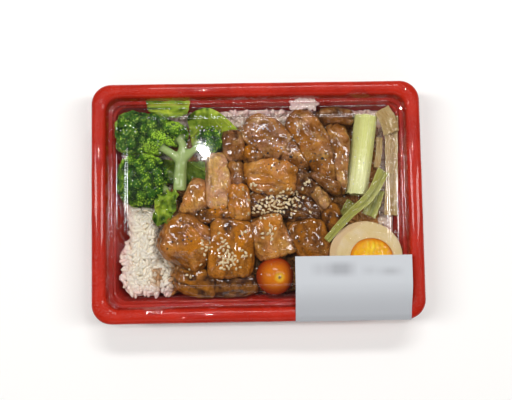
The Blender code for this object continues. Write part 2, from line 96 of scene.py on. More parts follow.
def primitive(name: str, operator: Callable[..., Any], **settings: Any) -> Piece:
    """Add one primitive with nothing else selected.

    Args:
        name: the new piece's name.
        operator: the operator that adds it.
        settings: the operator's settings.

    Returns:
        The new piece.
    """
    deselect_all()
    operator(**settings)
    piece = bpy.context.object
    piece.name = name
    return piece


@contextmanager
def editing(piece: Piece, mode: str = "VERT") -> Iterator[None]:
    """Hold a piece in edit mode with all of it selected.

    Args:
        piece: the mesh object to edit.
        mode: the kind of element to select, VERT, EDGE or FACE.
    """
    make_active(piece)
    bpy.ops.object.mode_set(mode="EDIT")
    bpy.ops.mesh.select_mode(type=mode)
    bpy.ops.mesh.select_all(action="SELECT")
    yield
    bpy.ops.object.mode_set(mode="OBJECT")


def edited(piece: Piece) -> bmesh.types.BMesh:
    """The mesh that is being edited, read afresh after each operator."""
    mesh = bmesh.from_edit_mesh(piece.data)
    mesh.verts.ensure_lookup_table()
    return mesh


def apply_modifier(piece: Piece, kind: str, **settings: Any) -> None:
    """Add a modifier with these settings and apply it at once.

    Args:
        piece: the mesh object.
        kind: the modifier's type.
        settings: the modifier's own properties.
    """
    make_active(piece)
    modifier = piece.modifiers.new(kind.title(), kind)
    for name, value in settings.items():
        setattr(modifier, name, value)
    bpy.ops.object.modifier_apply(modifier=modifier.name)


def box_of(node: str) -> tuple[Vector, Vector]:
    """The lowest and highest corners of a CAD node, in millimetres."""
    low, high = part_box(node)
    return Vector(low) / MM, Vector(high) / MM


def points_of(piece: Piece) -> Array:
    """The vertices of a piece, one row each, in millimetres."""
    flat = np.empty(len(piece.data.vertices) * 3)
    piece.data.vertices.foreach_get("co", flat)
    return flat.reshape(-1, 3) / MM


def set_points(piece: Piece, points: Array) -> None:
    """Move the vertices of a piece to these places, in millimetres."""
    piece.data.vertices.foreach_set("co", (points * MM).ravel())
    piece.data.update()


def normals_of(piece: Piece) -> Array:
    """The unit normals at the vertices of a piece."""
    flat = np.empty(len(piece.data.vertices) * 3)
    piece.data.vertex_normals.foreach_get("vector", flat)
    return flat.reshape(-1, 3)


def paint(piece: Piece, name: str, *channels: Array | float) -> None:
    """Store up to three values for each vertex as a colour attribute that a material reads.

    Args:
        piece: the mesh object.
        name: the attribute's name.
        channels: an array or one number for each of red, green and blue, between 0 and 1.
    """
    values = np.zeros((len(piece.data.vertices), 4))
    values[:, 3] = 1
    for column, channel in enumerate(channels):
        values[:, column] = np.clip(channel, 0, 1)
    layer = piece.data.color_attributes.new(name, "FLOAT_COLOR", "POINT")
    layer.data.foreach_set("color", values.ravel())


def cad_copy(node: str, name: str) -> Piece:
    """A merged copy of a CAD node, ready to be shaped further.

    Args:
        node: the node to copy.
        name: the new piece's name.

    Returns:
        The new object, at the origin as the node is.
    """
    piece = linked(name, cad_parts[node].data.copy())
    piece.data.materials.clear()
    with editing(piece):
        bpy.ops.mesh.remove_doubles(threshold=1e-6)
        bpy.ops.mesh.normals_make_consistent(inside=False)
    return piece


def grid_piece(name: str, columns: int, rows: int) -> Piece:
    """A flat unit grid, whose UV map runs from 0 to 1 both ways."""
    return primitive(name, bpy.ops.mesh.primitive_grid_add, x_subdivisions=columns, y_subdivisions=rows, size=1)


def thickened(piece: Piece, wall: float) -> None:
    """Give a leaf its thickness, in millimetres, and round it."""
    apply_modifier(piece, "SOLIDIFY", thickness=wall * MM, offset=-1)
    apply_modifier(piece, "SUBSURF", levels=1, render_levels=1)


def joined_copies(name: str, form: Form, places: Sequence[Matrix], tints: Sequence[Any]) -> Piece:
    """Many copies of one small form as a single mesh.

    Args:
        name: the piece's name.
        form: the small form.
        places: one transform for each copy, in millimetres.
        tints: one value, or a row of up to three, for each copy, stored as the attribute "tint".

    Returns:
        The new object.
    """
    points, faces = form
    turned = [points @ np.array(place.to_3x3()).T + np.array(place.translation) for place in places]
    corners = [faces + len(points) * number for number in range(len(places))]
    data = bpy.data.meshes.new(name)
    all_faces = np.concatenate(corners)
    all_points = np.concatenate(turned) * MM
    data.vertices.add(len(all_points))
    data.vertices.foreach_set("co", all_points.ravel())
    data.loops.add(all_faces.size)
    data.loops.foreach_set("vertex_index", all_faces.ravel())
    data.polygons.add(len(all_faces))
    data.polygons.foreach_set("loop_start", np.arange(0, all_faces.size, all_faces.shape[1]))
    data.update(calc_edges=True)
    piece = linked(name, data)
    spread = np.repeat(np.asarray(tints, float).reshape(len(places), -1), len(points), axis=0)
    paint(piece, "tint", *spread.T)
    return piece


def form_of(piece: Piece) -> Form:
    """Take a small piece apart into its form, and remove it.

    Args:
        piece: the small mesh object.

    Returns:
        The form.
    """
    points = points_of(piece)
    faces = np.array([list(face.vertices) for face in piece.data.polygons])
    bpy.data.objects.remove(piece, do_unlink=True)
    return points, faces


def bud_form(radius: float, subdivisions: int = 1) -> Form:
    """A small round form of triangles."""
    ball = bpy.ops.mesh.primitive_ico_sphere_add
    return form_of(primitive("ball", ball, subdivisions=subdivisions, radius=radius * MM))


def oval_form(segments: int, length: float, width: float, height: float) -> Form:
    """A small oval form of triangles, its poles along X.

    Args:
        segments: how many faces go round it.
        length: its size along X, in millimetres.
        width: its size along Y.
        height: its size along Z.

    Returns:
        The form.
    """
    ball, upright = bpy.ops.mesh.primitive_uv_sphere_add, (0, math.pi / 2, 0)
    piece = primitive("oval", ball, segments=segments, ring_count=6, radius=1, rotation=upright)
    bpy.ops.object.transform_apply(rotation=True)
    with editing(piece):
        bpy.ops.transform.resize(value=(length / 2, width / 2, height / 2))
        bpy.ops.mesh.quads_convert_to_tris()
    points, faces = form_of(piece)
    return points * MM, faces


def hand_over(piece: Piece, material: Material, slot: str, *nodes: str, crease: float = 180) -> None:
    """Dress a finished piece and tie it to the frame.

    Args:
        piece: the finished mesh object.
        material: its material.
        slot: the name of its kind, such as chicken or rice, shown in the log when it stands for no node.
        nodes: the CAD nodes that it stands for.
        crease: the angle in degrees past which an edge stays sharp.
    """
    piece.data.materials.clear()
    piece.data.materials.append(material)
    make_active(piece)
    bpy.ops.object.shade_smooth_by_angle(angle=math.radians(crease))
    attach(piece, "root")
    if nodes:
        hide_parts(*nodes)
    log.info("%s: %d faces for %s", piece.name, len(piece.data.polygons), ", ".join(nodes) or slot)


# ---- fields and curves


def ripple(points: Array, seed: int = 0) -> Array:
    """Smooth gradient noise, between about -1 and 1.

    Args:
        points: where to read it, one row each, counted in wavelengths.
        seed: picks another field.

    Returns:
        One value for each row.
    """
    cell = np.floor(points).astype(np.int64)
    part = points - cell
    fade = part**3 * (part * (part * 6 - 15) + 10)
    total = np.zeros(len(points))
    for corner in np.ndindex(2, 2, 2):
        key = (cell + corner) @ np.array([73856093, 19349663, 83492791]) + 7919 * seed
        key = (key ^ (key >> 15)) * 2246822519 & 0xFFFFFFFF
        key = (key ^ (key >> 13)) * 3266489917 & 0xFFFFFFFF
        key ^= key >> 16
        slopes = np.stack([key & 1023, key >> 10 & 1023, key >> 20 & 1023], axis=1) / 511.5 - 1
        weight = np.where(corner, fade, 1 - fade).prod(axis=1)
        total += weight * ((part - corner) * slopes).sum(axis=1)
    return total * 1.3


def rows(*columns: Any) -> Array:
    """Columns side by side, each an array or one number for all its rows."""
    return np.stack(np.broadcast_arrays(*columns), axis=1)


def away_from(points: Array, middle: Sequence[float], reach: Sequence[float] = (1, 1)) -> Array:
    """How far each place is from a middle seen from above, counted in the reach each way."""
    return np.hypot((points[:, 0] - middle[0]) / reach[0], (points[:, 1] - middle[1]) / reach[1])


def soft_step(value: Array | float, low: float, high: float) -> Array:
    """0 at low and 1 at high, with soft ends; low may be the greater."""
    share = np.clip((np.asarray(value, float) - low) / (high - low), 0, 1)
    return share * share * (3 - 2 * share)


def bend(start: Any, middle: Any, end: Any, share: Any) -> Any:
    """A point on the curve that leaves its start and reaches its end towards its middle."""
    return start * (1 - share) ** 2 + middle * 2 * share * (1 - share) + end * share**2


def soften(stops: Sequence[Pair], radius: float, steps: int = 3) -> list[Pair]:
    """Round the corners of a profile.

    Args:
        stops: the profile's points.
        radius: how far from each corner the rounding starts.
        steps: curve steps in each corner.

    Returns:
        The rounded profile's points.
    """
    corners = [Vector(stop) for stop in stops]
    out = [tuple(corners[0])]
    for before, corner, after in zip(corners, corners[1:], corners[2:]):
        back, ahead = before - corner, after - corner
        start = corner + back.normalized() * min(radius, 0.45 * back.length - 0.13)
        end = corner + ahead.normalized() * min(radius, 0.45 * ahead.length - 0.13)
        out.append(tuple(start + 0.12 * back.normalized()))
        out.extend(tuple(bend(start, corner, end, step / steps)) for step in range(steps + 1))
        out.append(tuple(end + 0.12 * ahead.normalized()))
    return out + [tuple(corners[-1])]


def curve_through(stops: Sequence[Place], shares: Array) -> Array:
    """Points on a smooth curve through the stops.

    Args:
        stops: the places that the curve passes.
        shares: how far along to read it, 0 at the first stop and 1 at the last.

    Returns:
        One row for each share.
    """
    knots = np.array(stops, float)
    knots = np.vstack([2 * knots[0] - knots[1], knots, 2 * knots[-1] - knots[-2]])
    spot = np.clip(shares, 0, 1) * (len(stops) - 1)
    first = np.minimum(spot.astype(int), len(stops) - 2)
    t = (spot - first)[:, None]
    a, b, c, d = (knots[first + offset] for offset in range(4))
    return 0.5 * (2 * b + (c - a) * t + (2 * a - 5 * b + 4 * c - d) * t**2 + (3 * b - a - 3 * c + d) * t**3)


# ---- finishes


class Tree:
    """A node tree that is filled one node at a time."""

    def __init__(self, tree: NodeTree) -> None:
        """Keep the tree to fill."""
        self.tree = tree

    def add(self, kind: str, inputs: dict[str | int, Any] | None = None, **settings: Any) -> bpy.types.Node:
        """Add a node.

        Args:
            kind: the node's type, without its ShaderNode prefix.
            inputs: a value or an output socket for each input, by name or number.
            settings: the node's own properties.

        Returns:
            The new node.
        """
        prefix = "" if kind.startswith("NodeGroup") else "ShaderNode"
        node = self.tree.nodes.new(prefix + kind)
        for name, value in settings.items():
            setattr(node, name, value)
        for name, value in (inputs or {}).items():
            if isinstance(value, Socket):
                self.tree.links.new(value, node.inputs[name])
            else:
                node.inputs[name].default_value = value
        return node

    def math(self, operation: str, first: Any, second: Any = 0, clamp: bool = False) -> Socket:
        """The result of a Math node."""
        return self.add("Math", {0: first, 1: second}, operation=operation, use_clamp=clamp).outputs[0]

    def plus(self, first: Any, second: Any, clamp: bool = True) -> Socket:
        """The sum of two values, held between 0 and 1 unless it is free."""
        return self.math("ADD", first, second, clamp)

    def times(self, first: Any, second: Any, clamp: bool = False) -> Socket:
        """The product of two values."""
        return self.math("MULTIPLY", first, second, clamp)

    def blend(self, share: Any, first: Any, second: Any) -> Socket:
        """Two colours mixed by a share."""
        first, second = opaque(first), opaque(second)
        return self.add("Mix", {"Factor": share, 6: first, 7: second}, data_type="RGBA").outputs[2]

    def layered(self, colour: Any, *layers: tuple[Any, Any]) -> Socket:
        """A colour with others over it, each given as its mask and itself.

        Args:
            colour: the lowest colour.
            layers: the masks and colours, from below.

        Returns:
            The colour's socket.
        """
        for mask, over in layers:
            colour = self.blend(mask, colour, over)
        return colour

    def between(self, value: Any, low: float, high: float, to_low: float = 0, to_high: float = 1) -> Any:
        """A value taken from one range to another and held inside it."""
        inputs = {"Value": value, "From Min": low, "From Max": high, "To Min": to_low, "To Max": to_high}
        return self.add("MapRange", inputs).outputs["Result"]

    def spread(self, mask: Any, low: float, high: float) -> Any:
        """A mask taken from 0 to 1 to another range."""
        return self.between(mask, 0, 1, low, high)

    def ridge(self, value: Any, low: float, high: float, soft: float) -> Socket:
        """A mask of what lies between two values, with soft sides."""
        return self.times(self.between(value, low - soft, low + 0.05), self.between(value, high + soft, high - 0.05))

    def seen_from(self, kind: str) -> Socket:
        """Where a point is in one kind of Blender's coordinates, Object or UV."""
        return self.add("TexCoord").outputs[kind]

    def tones(self, name: str = "tint") -> Any:
        """The red, green and blue of an attribute that was painted on the piece."""
        return self.add("SeparateColor", {0: self.add("Attribute", attribute_name=name).outputs["Color"]}).outputs

    def place(self, group: NodeTree, **inputs: Any) -> Any:
        """Put a shared effect in with its own values, and give its outputs.

        Args:
            group: the effect.
            inputs: a value for each input.

        Returns:
            The outputs.
        """
        node = self.add("Group", node_tree=group)
        for label, value in inputs.items():
            node.inputs[label].default_value = opaque(value)
        return node.outputs

    def mottle(self, scale: float, contrast: float, **colours: Colour) -> Any:
        """The mottle's colour and mask."""
        return self.place(EFFECTS.mottle, Scale=scale, Contrast=contrast, **colours)

    def patches(self, scale: float, contrast: float) -> Socket:
        """The mottle's mask alone."""
        return self.mottle(scale, contrast)["Mask"]

    def grit(self, scale: float, pits: float) -> Socket:
        """The height of fine grains and pits."""
        return self.place(EFFECTS.grit, Scale=scale, Pits=pits)["Height"]

    def bump(self, height: Any, strength: float, distance: float, over: Any = None) -> Socket:
        """A normal that follows a height.

        Args:
            height: the height's socket.
            strength: how much of the bump shows.
            distance: the height's span in metres.
            over: another normal that this one adds to.

        Returns:
            The normal's socket.
        """
        inputs = {"Height": height, "Strength": strength, "Distance": distance}
        if over is not None:
            inputs["Normal"] = over
        return self.add("Bump", inputs).outputs["Normal"]


def opaque(value: Any) -> Any:
    """A colour with its alpha added; anything else stays as it is."""
    return (*value, 1) if isinstance(value, tuple) and len(value) == 3 else value


class Group(Tree):
    """A shared effect: a node group with named inputs and outputs."""

    def __init__(self, name: str, outputs: Sequence[str], **inputs: Any) -> None:
        """Make the group.

        Args:
            name: its name.
            outputs: its outputs; the one named Color is a colour and the rest are numbers.
            inputs: the default of each input, a number or a colour.
        """
        super().__init__(bpy.data.node_groups.new(name, "ShaderNodeTree"))
        for label, value in inputs.items():
            kind = "NodeSocketColor" if isinstance(value, tuple) else "NodeSocketFloat"
            socket = self.tree.interface.new_socket(label, in_out="INPUT", socket_type=kind)
            socket.default_value = opaque(value)
        for label in outputs:
            kind = "NodeSocketColor" if label == "Color" else "NodeSocketFloat"
            self.tree.interface.new_socket(label, in_out="OUTPUT", socket_type=kind)
        self.given = self.add("NodeGroupInput").outputs

    def give(self, **results: Socket) -> NodeTree:
        """Link the outputs and give the finished group."""
        self.add("NodeGroupOutput", results)
        return self.tree


class Effects:
    """The shared effects, each built once and placed in many materials."""

    def __init__(self) -> None:
        """Build the four groups."""
        self.mottle = self.build_mottle()
        self.grit = self.build_grit()
        self.beads = self.build_beads()
        self.fibres = self.build_fibres()

    @staticmethod
    def build_mottle() -> NodeTree:
        """Soft uneven patches, as a mask and as two colours mixed by it.

        Returns:
            The group.
        """
        black, white = (0, 0, 0), (1, 1, 1)
        tree = Group("mottle", ("Color", "Mask"), Scale=100, Contrast=1, First=black, Second=white)
        noise = {"Vector": tree.seen_from("Object"), "Scale": tree.given["Scale"], "Detail": 4, "Roughness": 0.6}
        centred = tree.times(tree.math("SUBTRACT", tree.add("TexNoise", noise).outputs["Fac"], 0.5), 3.2)
        mask = tree.math("MULTIPLY_ADD", centred, tree.given["Contrast"], clamp=True)
        mask.node.inputs[2].default_value = 0.5
        return tree.give(Color=tree.blend(mask, tree.given["First"], tree.given["Second"]), Mask=mask)

    @staticmethod
    def build_grit() -> NodeTree:
        """A height of fine grains and pits.

        Returns:
            The group.
        """
        tree = Group("grit", ("Height",), Scale=900, Pits=0.5)
        cells = {"Vector": tree.seen_from("Object"), "Scale": tree.given["Scale"]}
        grains = tree.add("TexNoise", {**cells, "Detail": 3, "Roughness": 0.65}).outputs["Fac"]
        pits = tree.times(tree.add("TexVoronoi", cells).outputs["Distance"], tree.given["Pits"])
        return tree.give(Height=tree.plus(grains, pits, clamp=False))

    @staticmethod
    def build_beads() -> NodeTree:
        """The height of small round beads, one in each chosen cell.

        Returns:
            The group.
        """
        tree = Group("beads", ("Height",), Scale=600, Share=0.2)
        cells = tree.add("TexVoronoi", {"Vector": tree.seen_from("Object"), "Scale": tree.given["Scale"]}).outputs
        draw = tree.add("SeparateColor", {0: cells["Color"]}).outputs["Red"]
        chosen = tree.math("LESS_THAN", draw, tree.given["Share"])
        return tree.give(Height=tree.times(tree.between(cells["Distance"], 0.42, 0), chosen))

    @staticmethod
    def build_fibres() -> NodeTree:
        """Fine lines that run along V of the UV map.

        Returns:
            The group.
        """
        tree = Group("fibres", ("Height", "Mask"), Lines=60, Length=2, Waver=0.02)
        spot = tree.add("SeparateXYZ", {0: tree.seen_from("UV")}).outputs
        waver = tree.add("TexNoise", {"Vector": tree.seen_from("UV"), "Scale": 4}).outputs["Fac"]
        across = tree.plus(spot["X"], tree.times(waver, tree.given["Waver"]), clamp=False)
        across, along = tree.times(across, tree.given["Lines"]), tree.times(spot["Y"], tree.given["Length"])
        stretched = tree.add("CombineXYZ", {"X": across, "Y": along}).outputs[0]
        lines = tree.add("TexNoise", {"Vector": stretched, "Scale": 1, "Detail": 3}).outputs["Fac"]
        return tree.give(Height=lines, Mask=tree.between(lines, 0.4, 0.62))


EFFECTS = Effects()


@dataclass(frozen=True)
class Gloss:
    """The constant values of a food or plastic surface, set on the shader's own sockets.

    The coat is a wet layer over it, and depth is how much light scatters under it: depth_colour is how far
    each colour travels, as shares of depth_scale in metres.
    """

    roughness: float = 0.5
    coat: float = 0.0
    coat_roughness: float = 0.1
    depth: float = 0.0
    depth_colour: Colour = (1, 0.4, 0.2)
    depth_scale: float = 0.003
    specular: float = 0.25

    def shade(self, tree: Tree, colour: Any, **more: Any) -> None:
        """Finish a material with a Principled shader.

        Args:
            tree: the material's tree.
            colour: the base colour or its socket.
            more: sockets for the shader's roughness, normal or alpha.
        """
        inputs = {
            "Base Color": opaque(colour),
            "Roughness": self.roughness,
            "Coat Weight": self.coat,
            "Coat Roughness": self.coat_roughness,
            "Subsurface Weight": self.depth,
            "Subsurface Radius": self.depth_colour,
            "Subsurface Scale": self.depth_scale,
            "Specular IOR Level": self.specular,
        }
        inputs.update({label.title(): value for label, value in more.items()})
        tree.add("OutputMaterial", {"Surface": tree.add("BsdfPrincipled", inputs).outputs[0]})


class Finish:
    """A finish: the name of its material, and how the material's tree is filled."""

    name: str

    def material(self) -> Material:
        """Make the material.

        Returns:
            The material, dressed.
        """
        material = bpy.data.materials.new(self.name)
        material.use_nodes = True
        material.node_tree.nodes.clear()
        self.dress(Tree(material.node_tree))
        return material

    def dress(self, tree: Tree) -> None:
        """Fill the material's tree; each finish has its own way."""
        raise NotImplementedError


@dataclass(frozen=True)
class RedPlastic(Finish):
    """Glossy red tray plastic with a fine pebbled skin."""

    name: str = "red_plastic"
    bright: Colour = (0.51, 0.023, 0.009)
    deep: Colour = (0.37, 0.013, 0.005)

    def dress(self, tree: Tree) -> None:
        """Mottle the red and pebble the skin."""
        tone = tree.mottle(38, 0.8, First=self.deep, Second=self.bright)
        rough = tree.spread(tone["Mask"], 0.2, 0.32)
        pebbled = tree.bump(tree.grit(620, 0.7), 0.75, 0.0004)
        gloss = Gloss(specular=0.12, coat=0.28, coat_roughness=0.04)
        gloss.shade(tree, tone["Color"], roughness=rough, normal=pebbled)


@dataclass(frozen=True)
class ClearFilm(Finish):
    """Thin clear plastic: what it doesn't reflect goes straight through it."""

    name: str = "clear_film"
    index: float = 1.5
    roughness: float = 0.022
    tint: Colour = (0.985, 0.99, 1)

    def dress(self, tree: Tree) -> None:
        """Mix a clear shader with a mirror by the film's own reflection, from either side."""
        beads = tree.place(EFFECTS.beads, Scale=640, Share=0.35)["Height"]
        normal = tree.bump(beads, 1, 0.00005, tree.bump(tree.patches(26, 0.6), 0.03, 0.0012))
        outside = tree.add("Fresnel", {"IOR": self.index, "Normal": normal}).outputs[0]
        inside = tree.add("Fresnel", {"IOR": 1 / self.index, "Normal": normal}).outputs[0]
        back = tree.add("NewGeometry").outputs["Backfacing"]
        share = tree.add("Mix", {"Factor": back, 2: outside, 3: inside}).outputs[0]
        through = tree.add("BsdfTransparent", {"Color": opaque(self.tint)}).outputs[0]
        gloss = {"Color": (1, 1, 1, 1), "Roughness": self.roughness, "Normal": normal}
        shine = tree.add("BsdfAnisotropic", gloss).outputs[0]
        film = tree.add("MixShader", {"Fac": share, 1: through, 2: shine}).outputs[0]
        tree.add("OutputMaterial", {"Surface": film})


@dataclass(frozen=True)
class PaintedGlintDrop(Finish):
    """A small drop of settled steam; its white, partly opaque colour is a painted glint."""

    name: str = "drop_painted_glint"
    # tone: the white of the painted glint
    tone: Colour = (1, 0.99, 0.96)

    def dress(self, tree: Tree) -> None:
        """Set by its tint how much of each drop is clear and how much is a white painted glint."""
        clear = tree.spread(tree.tones()["Red"], 0.3, 1)
        Gloss(roughness=0.05, specular=0.5, coat=1, coat_roughness=0.02).shade(tree, self.tone, alpha=clear)


@dataclass(frozen=True)
class LabelPaper(Finish):
    """Coated paper with soft grey bars and no lettering; a bar has its four sides and its strength."""

    name: str = "label_paper"
    paper: Colour = (0.545, 0.57, 0.61)
    # grey is the tone of the printed bars and also of the painted shade
    grey: Colour = (0.32, 0.33, 0.36)
    bars: tuple[tuple[float, ...], ...] = (
        (0.29, 0.48, 0.71, 0.89, 0.75), (0.74, 0.88, 0.71, 0.8, 0.6),
        (0.17, 0.24, 0.72, 0.88, 0.4), (0.6, 0.67, 0.72, 0.82, 0.4),
    )  # fmt: skip

    def dress(self, tree: Tree) -> None:
        """Draw the bars with soft sides over painted shade that greys the paper towards its lower, sloping end."""
        spot = tree.add("SeparateXYZ", {0: tree.seen_from("UV")}).outputs
        across, along = spot["X"], spot["Y"]
        # painted shade: the paper turns grey towards low V, where the label slopes down to the rim
        share = tree.times(tree.between(along, 0.46, 0.12), 0.55)
        for left, right, low, high, strength in self.bars:
            wide, tall = tree.ridge(across, left, right, 0.06), tree.ridge(along, low, high, 0.05)
            share = tree.plus(share, tree.times(tree.times(wide, tall), strength))
        colour = tree.blend(share, self.paper, self.grey)
        Gloss(roughness=0.42).shade(tree, colour, normal=tree.bump(tree.grit(1400, 0.2), 0.12, 0.0002))


@dataclass(frozen=True)
class PaleFloor(Finish):
    """The plain pale floor of the studio."""

    name: str = "pale_floor"
    colour: Colour = (0.93, 0.93, 0.93)
    lighter: Colour = (0.95, 0.95, 0.95)

    def dress(self, tree: Tree) -> None:
        """Give the floor a very soft mottle."""
        soft = tree.mottle(3, 0.2, First=self.colour, Second=self.lighter)
        Gloss(roughness=0.8, specular=0.2).shade(tree, soft["Color"])


@dataclass(frozen=True)
class GlazedMeat(Finish):
    """Grilled chicken under a brown glaze; the attribute "dressing" holds its pale, orange and sauced parts and
    painted light and shade.
    """

    name: str = "glazed_meat"
    brown: Colour = (0.26, 0.08, 0.006)
    pale: Colour = (0.79, 0.45, 0.12)
    rosy: Colour = (0.72, 0.37, 0.2)
    orange: Colour = (0.68, 0.225, 0.002)
    # sauce is also the tone of the painted shade in creases, on low sides and in cracks
    sauce: Colour = (0.04, 0.012, 0.004)
    freckle: Colour = (0.1, 0.035, 0.006)
    patch: float = 210.0

    def dress(self, tree: Tree) -> None:
        """Lay the pale parts, the orange and the sauce over the brown, the pale and the sauce carrying painted light
        and shade, and freckles over them.
        """
        parts = tree.tones("dressing")
        broad, fine = tree.patches(0.33 * self.patch, 0.9), tree.patches(self.patch, 1.2)
        blush = tree.patches(0.6 * self.patch, 1.6)
        uneven = tree.plus(tree.times(broad, 0.45), tree.times(fine, 0.5), clamp=False)
        pale = tree.plus(parts["Red"], tree.math("SUBTRACT", uneven, 0.475))
        orange = tree.times(parts["Green"], tree.spread(broad, 0.75, 1.1), clamp=True)
        # shade: the real sauce together with the painted shade in creases, on low sides and in cracks
        shade = tree.times(parts["Blue"], tree.spread(fine, 1.1, 0.6), clamp=True)
        marks = tree.times(tree.patches(620, 1.4), tree.spread(pale, 0.32, 0.06))
        meat = tree.blend(blush, self.pale, self.rosy)
        layers = ((pale, meat), (orange, self.orange), (shade, self.sauce), (marks, self.freckle))
        bare = tree.math("SUBTRACT", 1, tree.times(orange, 0.75))
        wide = tree.bump(tree.times(tree.grit(420, 0.6), bare), 1, 0.0011)
        tight = tree.bump(tree.grit(1000, 0.8), 0.8, 0.0008, wide)
        gloss = Gloss(specular=0.05, coat=1, coat_roughness=0.04, depth=0.06, depth_scale=0.0015)
        rough = tree.spread(fine, 0.3, 0.48)
        gloss.shade(tree, tree.layered(self.brown, *layers), roughness=rough, normal=tight)


@dataclass(frozen=True)
class CookedRice(Finish):
    """Steamed rice, translucent and moist; the attribute "tint" holds its cream, its painted red bounce light from
    the tray walls and its stained parts.
    """

    name: str = "cooked_rice"
    white: Colour = (0.98, 0.86, 0.69)
    cream: Colour = (0.88, 0.75, 0.53)
    # rosy: the pink of painted red bounce light from the tray walls
    rosy: Colour = (0.9, 0.58, 0.54)
    stain: Colour = (0.42, 0.18, 0.04)

    def dress(self, tree: Tree) -> None:
        """Lay cream, the painted red bounce light and stain over the white."""
        parts, cloudy = tree.tones(), tree.patches(240, 0.6)
        cream = tree.plus(parts["Red"], tree.times(cloudy, 0.25))
        layers = ((cream, self.cream), (parts["Green"], self.rosy), (parts["Blue"], self.stain))
        gloss = Gloss(coat=0.3, coat_roughness=0.08, depth=0.35, depth_colour=(1, 0.8, 0.6), depth_scale=0.002)
        rough, fine = tree.spread(cloudy, 0.24, 0.42), tree.bump(tree.grit(1300, 0.2), 0.15, 0.0003)
        gloss.shade(tree, tree.layered(self.white, *layers), roughness=rough, normal=fine)


@dataclass(frozen=True)
class BroccoliGreen(Finish):
    """Boiled broccoli; the attribute "tint" holds its light tips, its pale stalk and painted shade in the hollows
    between its clumps.
    """

    name: str = "broccoli_green"
    bud: Colour = (0.045, 0.175, 0.006)
    tip: Colour = (0.54, 0.84, 0.06)
    stalk: Colour = (0.33, 0.43, 0.14)
    # hollow: the near black of the painted shade in the hollows
    hollow: Colour = (0.01, 0.034, 0.004)

    def dress(self, tree: Tree) -> None:
        """Lay tips, the painted shade of the hollows and stalk over the buds' green."""
        parts, patches = tree.tones(), tree.patches(150, 0.9)
        tip = tree.plus(parts["Red"], tree.times(tree.math("SUBTRACT", patches, 0.5), 0.3))
        layers = ((tip, self.tip), (parts["Blue"], self.hollow), (parts["Green"], self.stalk))
        rough, fine = tree.spread(patches, 0.3, 0.45), tree.bump(tree.grit(900, 0.5), 0.35, 0.0004)
        gloss = Gloss(specular=0.1, coat=0.35, coat_roughness=0.05)
        gloss.shade(tree, tree.layered(self.bud, *layers), roughness=rough, normal=fine)


@dataclass(frozen=True)
class SoakedEgg(Finish):
    """Boiled egg white steeped in soy; "tint" holds its browner skin and the yellow round the yolk."""

    name: str = "soaked_egg"
    white: Colour = (0.64, 0.465, 0.155)
    paler: Colour = (0.76, 0.61, 0.39)
    skin: Colour = (0.6, 0.38, 0.19)
    yellow: Colour = (0.72, 0.5, 0.2)

    def dress(self, tree: Tree) -> None:
        """Lay the yellow and the skin over a mottled white."""
        parts, white = tree.tones(), tree.mottle(120, 0.6, First=self.white, Second=self.paler)["Color"]
        colour = tree.layered(white, (parts["Green"], self.yellow), (parts["Red"], self.skin))
        gloss = Gloss(roughness=0.32, coat=0.3, depth=0.25, depth_colour=(1, 0.7, 0.4), depth_scale=0.003)
        gloss.shade(tree, colour, normal=tree.bump(tree.grit(700, 0.2), 0.12, 0.0003))


@dataclass(frozen=True)
class JammyYolk(Finish):
    """Soft-boiled yolk; "tint" holds its set edge and its creamy folds, whose cream on the raised crests is partly
    painted light.
    """

    name: str = "jammy_yolk"
    bright: Colour = (0.92, 0.47, 0.006)
    deep: Colour = (0.82, 0.32, 0.002)
    edge: Colour = (0.62, 0.16, 0.001)
    cream: Colour = (1, 0.7, 0.02)

    def dress(self, tree: Tree) -> None:
        """Lay the cream of the folds, partly painted light on their crests, and the edge over a mottled yellow."""
        parts, tone = tree.tones(), tree.mottle(110, 1.1, First=self.deep, Second=self.bright)
        colour = tree.layered(tone["Color"], (parts["Green"], self.cream), (parts["Red"], self.edge))
        rough, fine = tree.spread(tone["Mask"], 0.22, 0.36), tree.bump(tree.grit(600, 0.3), 0.2, 0.0004)
        Gloss(specular=0.08, coat=0.14, coat_roughness=0.05).shade(tree, colour, roughness=rough, normal=fine)


@dataclass(frozen=True)
class TomatoSkin(Finish):
    """Small orange-red tomato; "tint" holds the painted shade that deepens its sides to red as seen from above, the
    yellow ring and the dry scar.
    """

    name: str = "tomato_skin"
    orange: Colour = (0.62, 0.155, 0.004)
    speck: Colour = (0.8, 0.3, 0.015)
    # red: the deep red of the painted shade on the sides
    red: Colour = (0.36, 0.035, 0.003)
    ring: Colour = (0.8, 0.45, 0.03)
    scar: Colour = (0.22, 0.13, 0.06)

    def dress(self, tree: Tree) -> None:
        """Lay specks, the painted shade of the sides, ring and scar over the orange."""
        parts, speckle = tree.tones(), tree.patches(700, 0.7)
        layers = zip((tree.times(speckle, 0.22), *parts), (self.speck, self.red, self.ring, self.scar))
        rough, fine = tree.spread(parts["Blue"], 0.1, 0.6), tree.bump(speckle, 0.05, 0.0003)
        gloss = Gloss(specular=0.1, coat=0.35, coat_roughness=0.03)
        gloss.shade(tree, tree.layered(self.orange, *layers), roughness=rough, normal=fine)


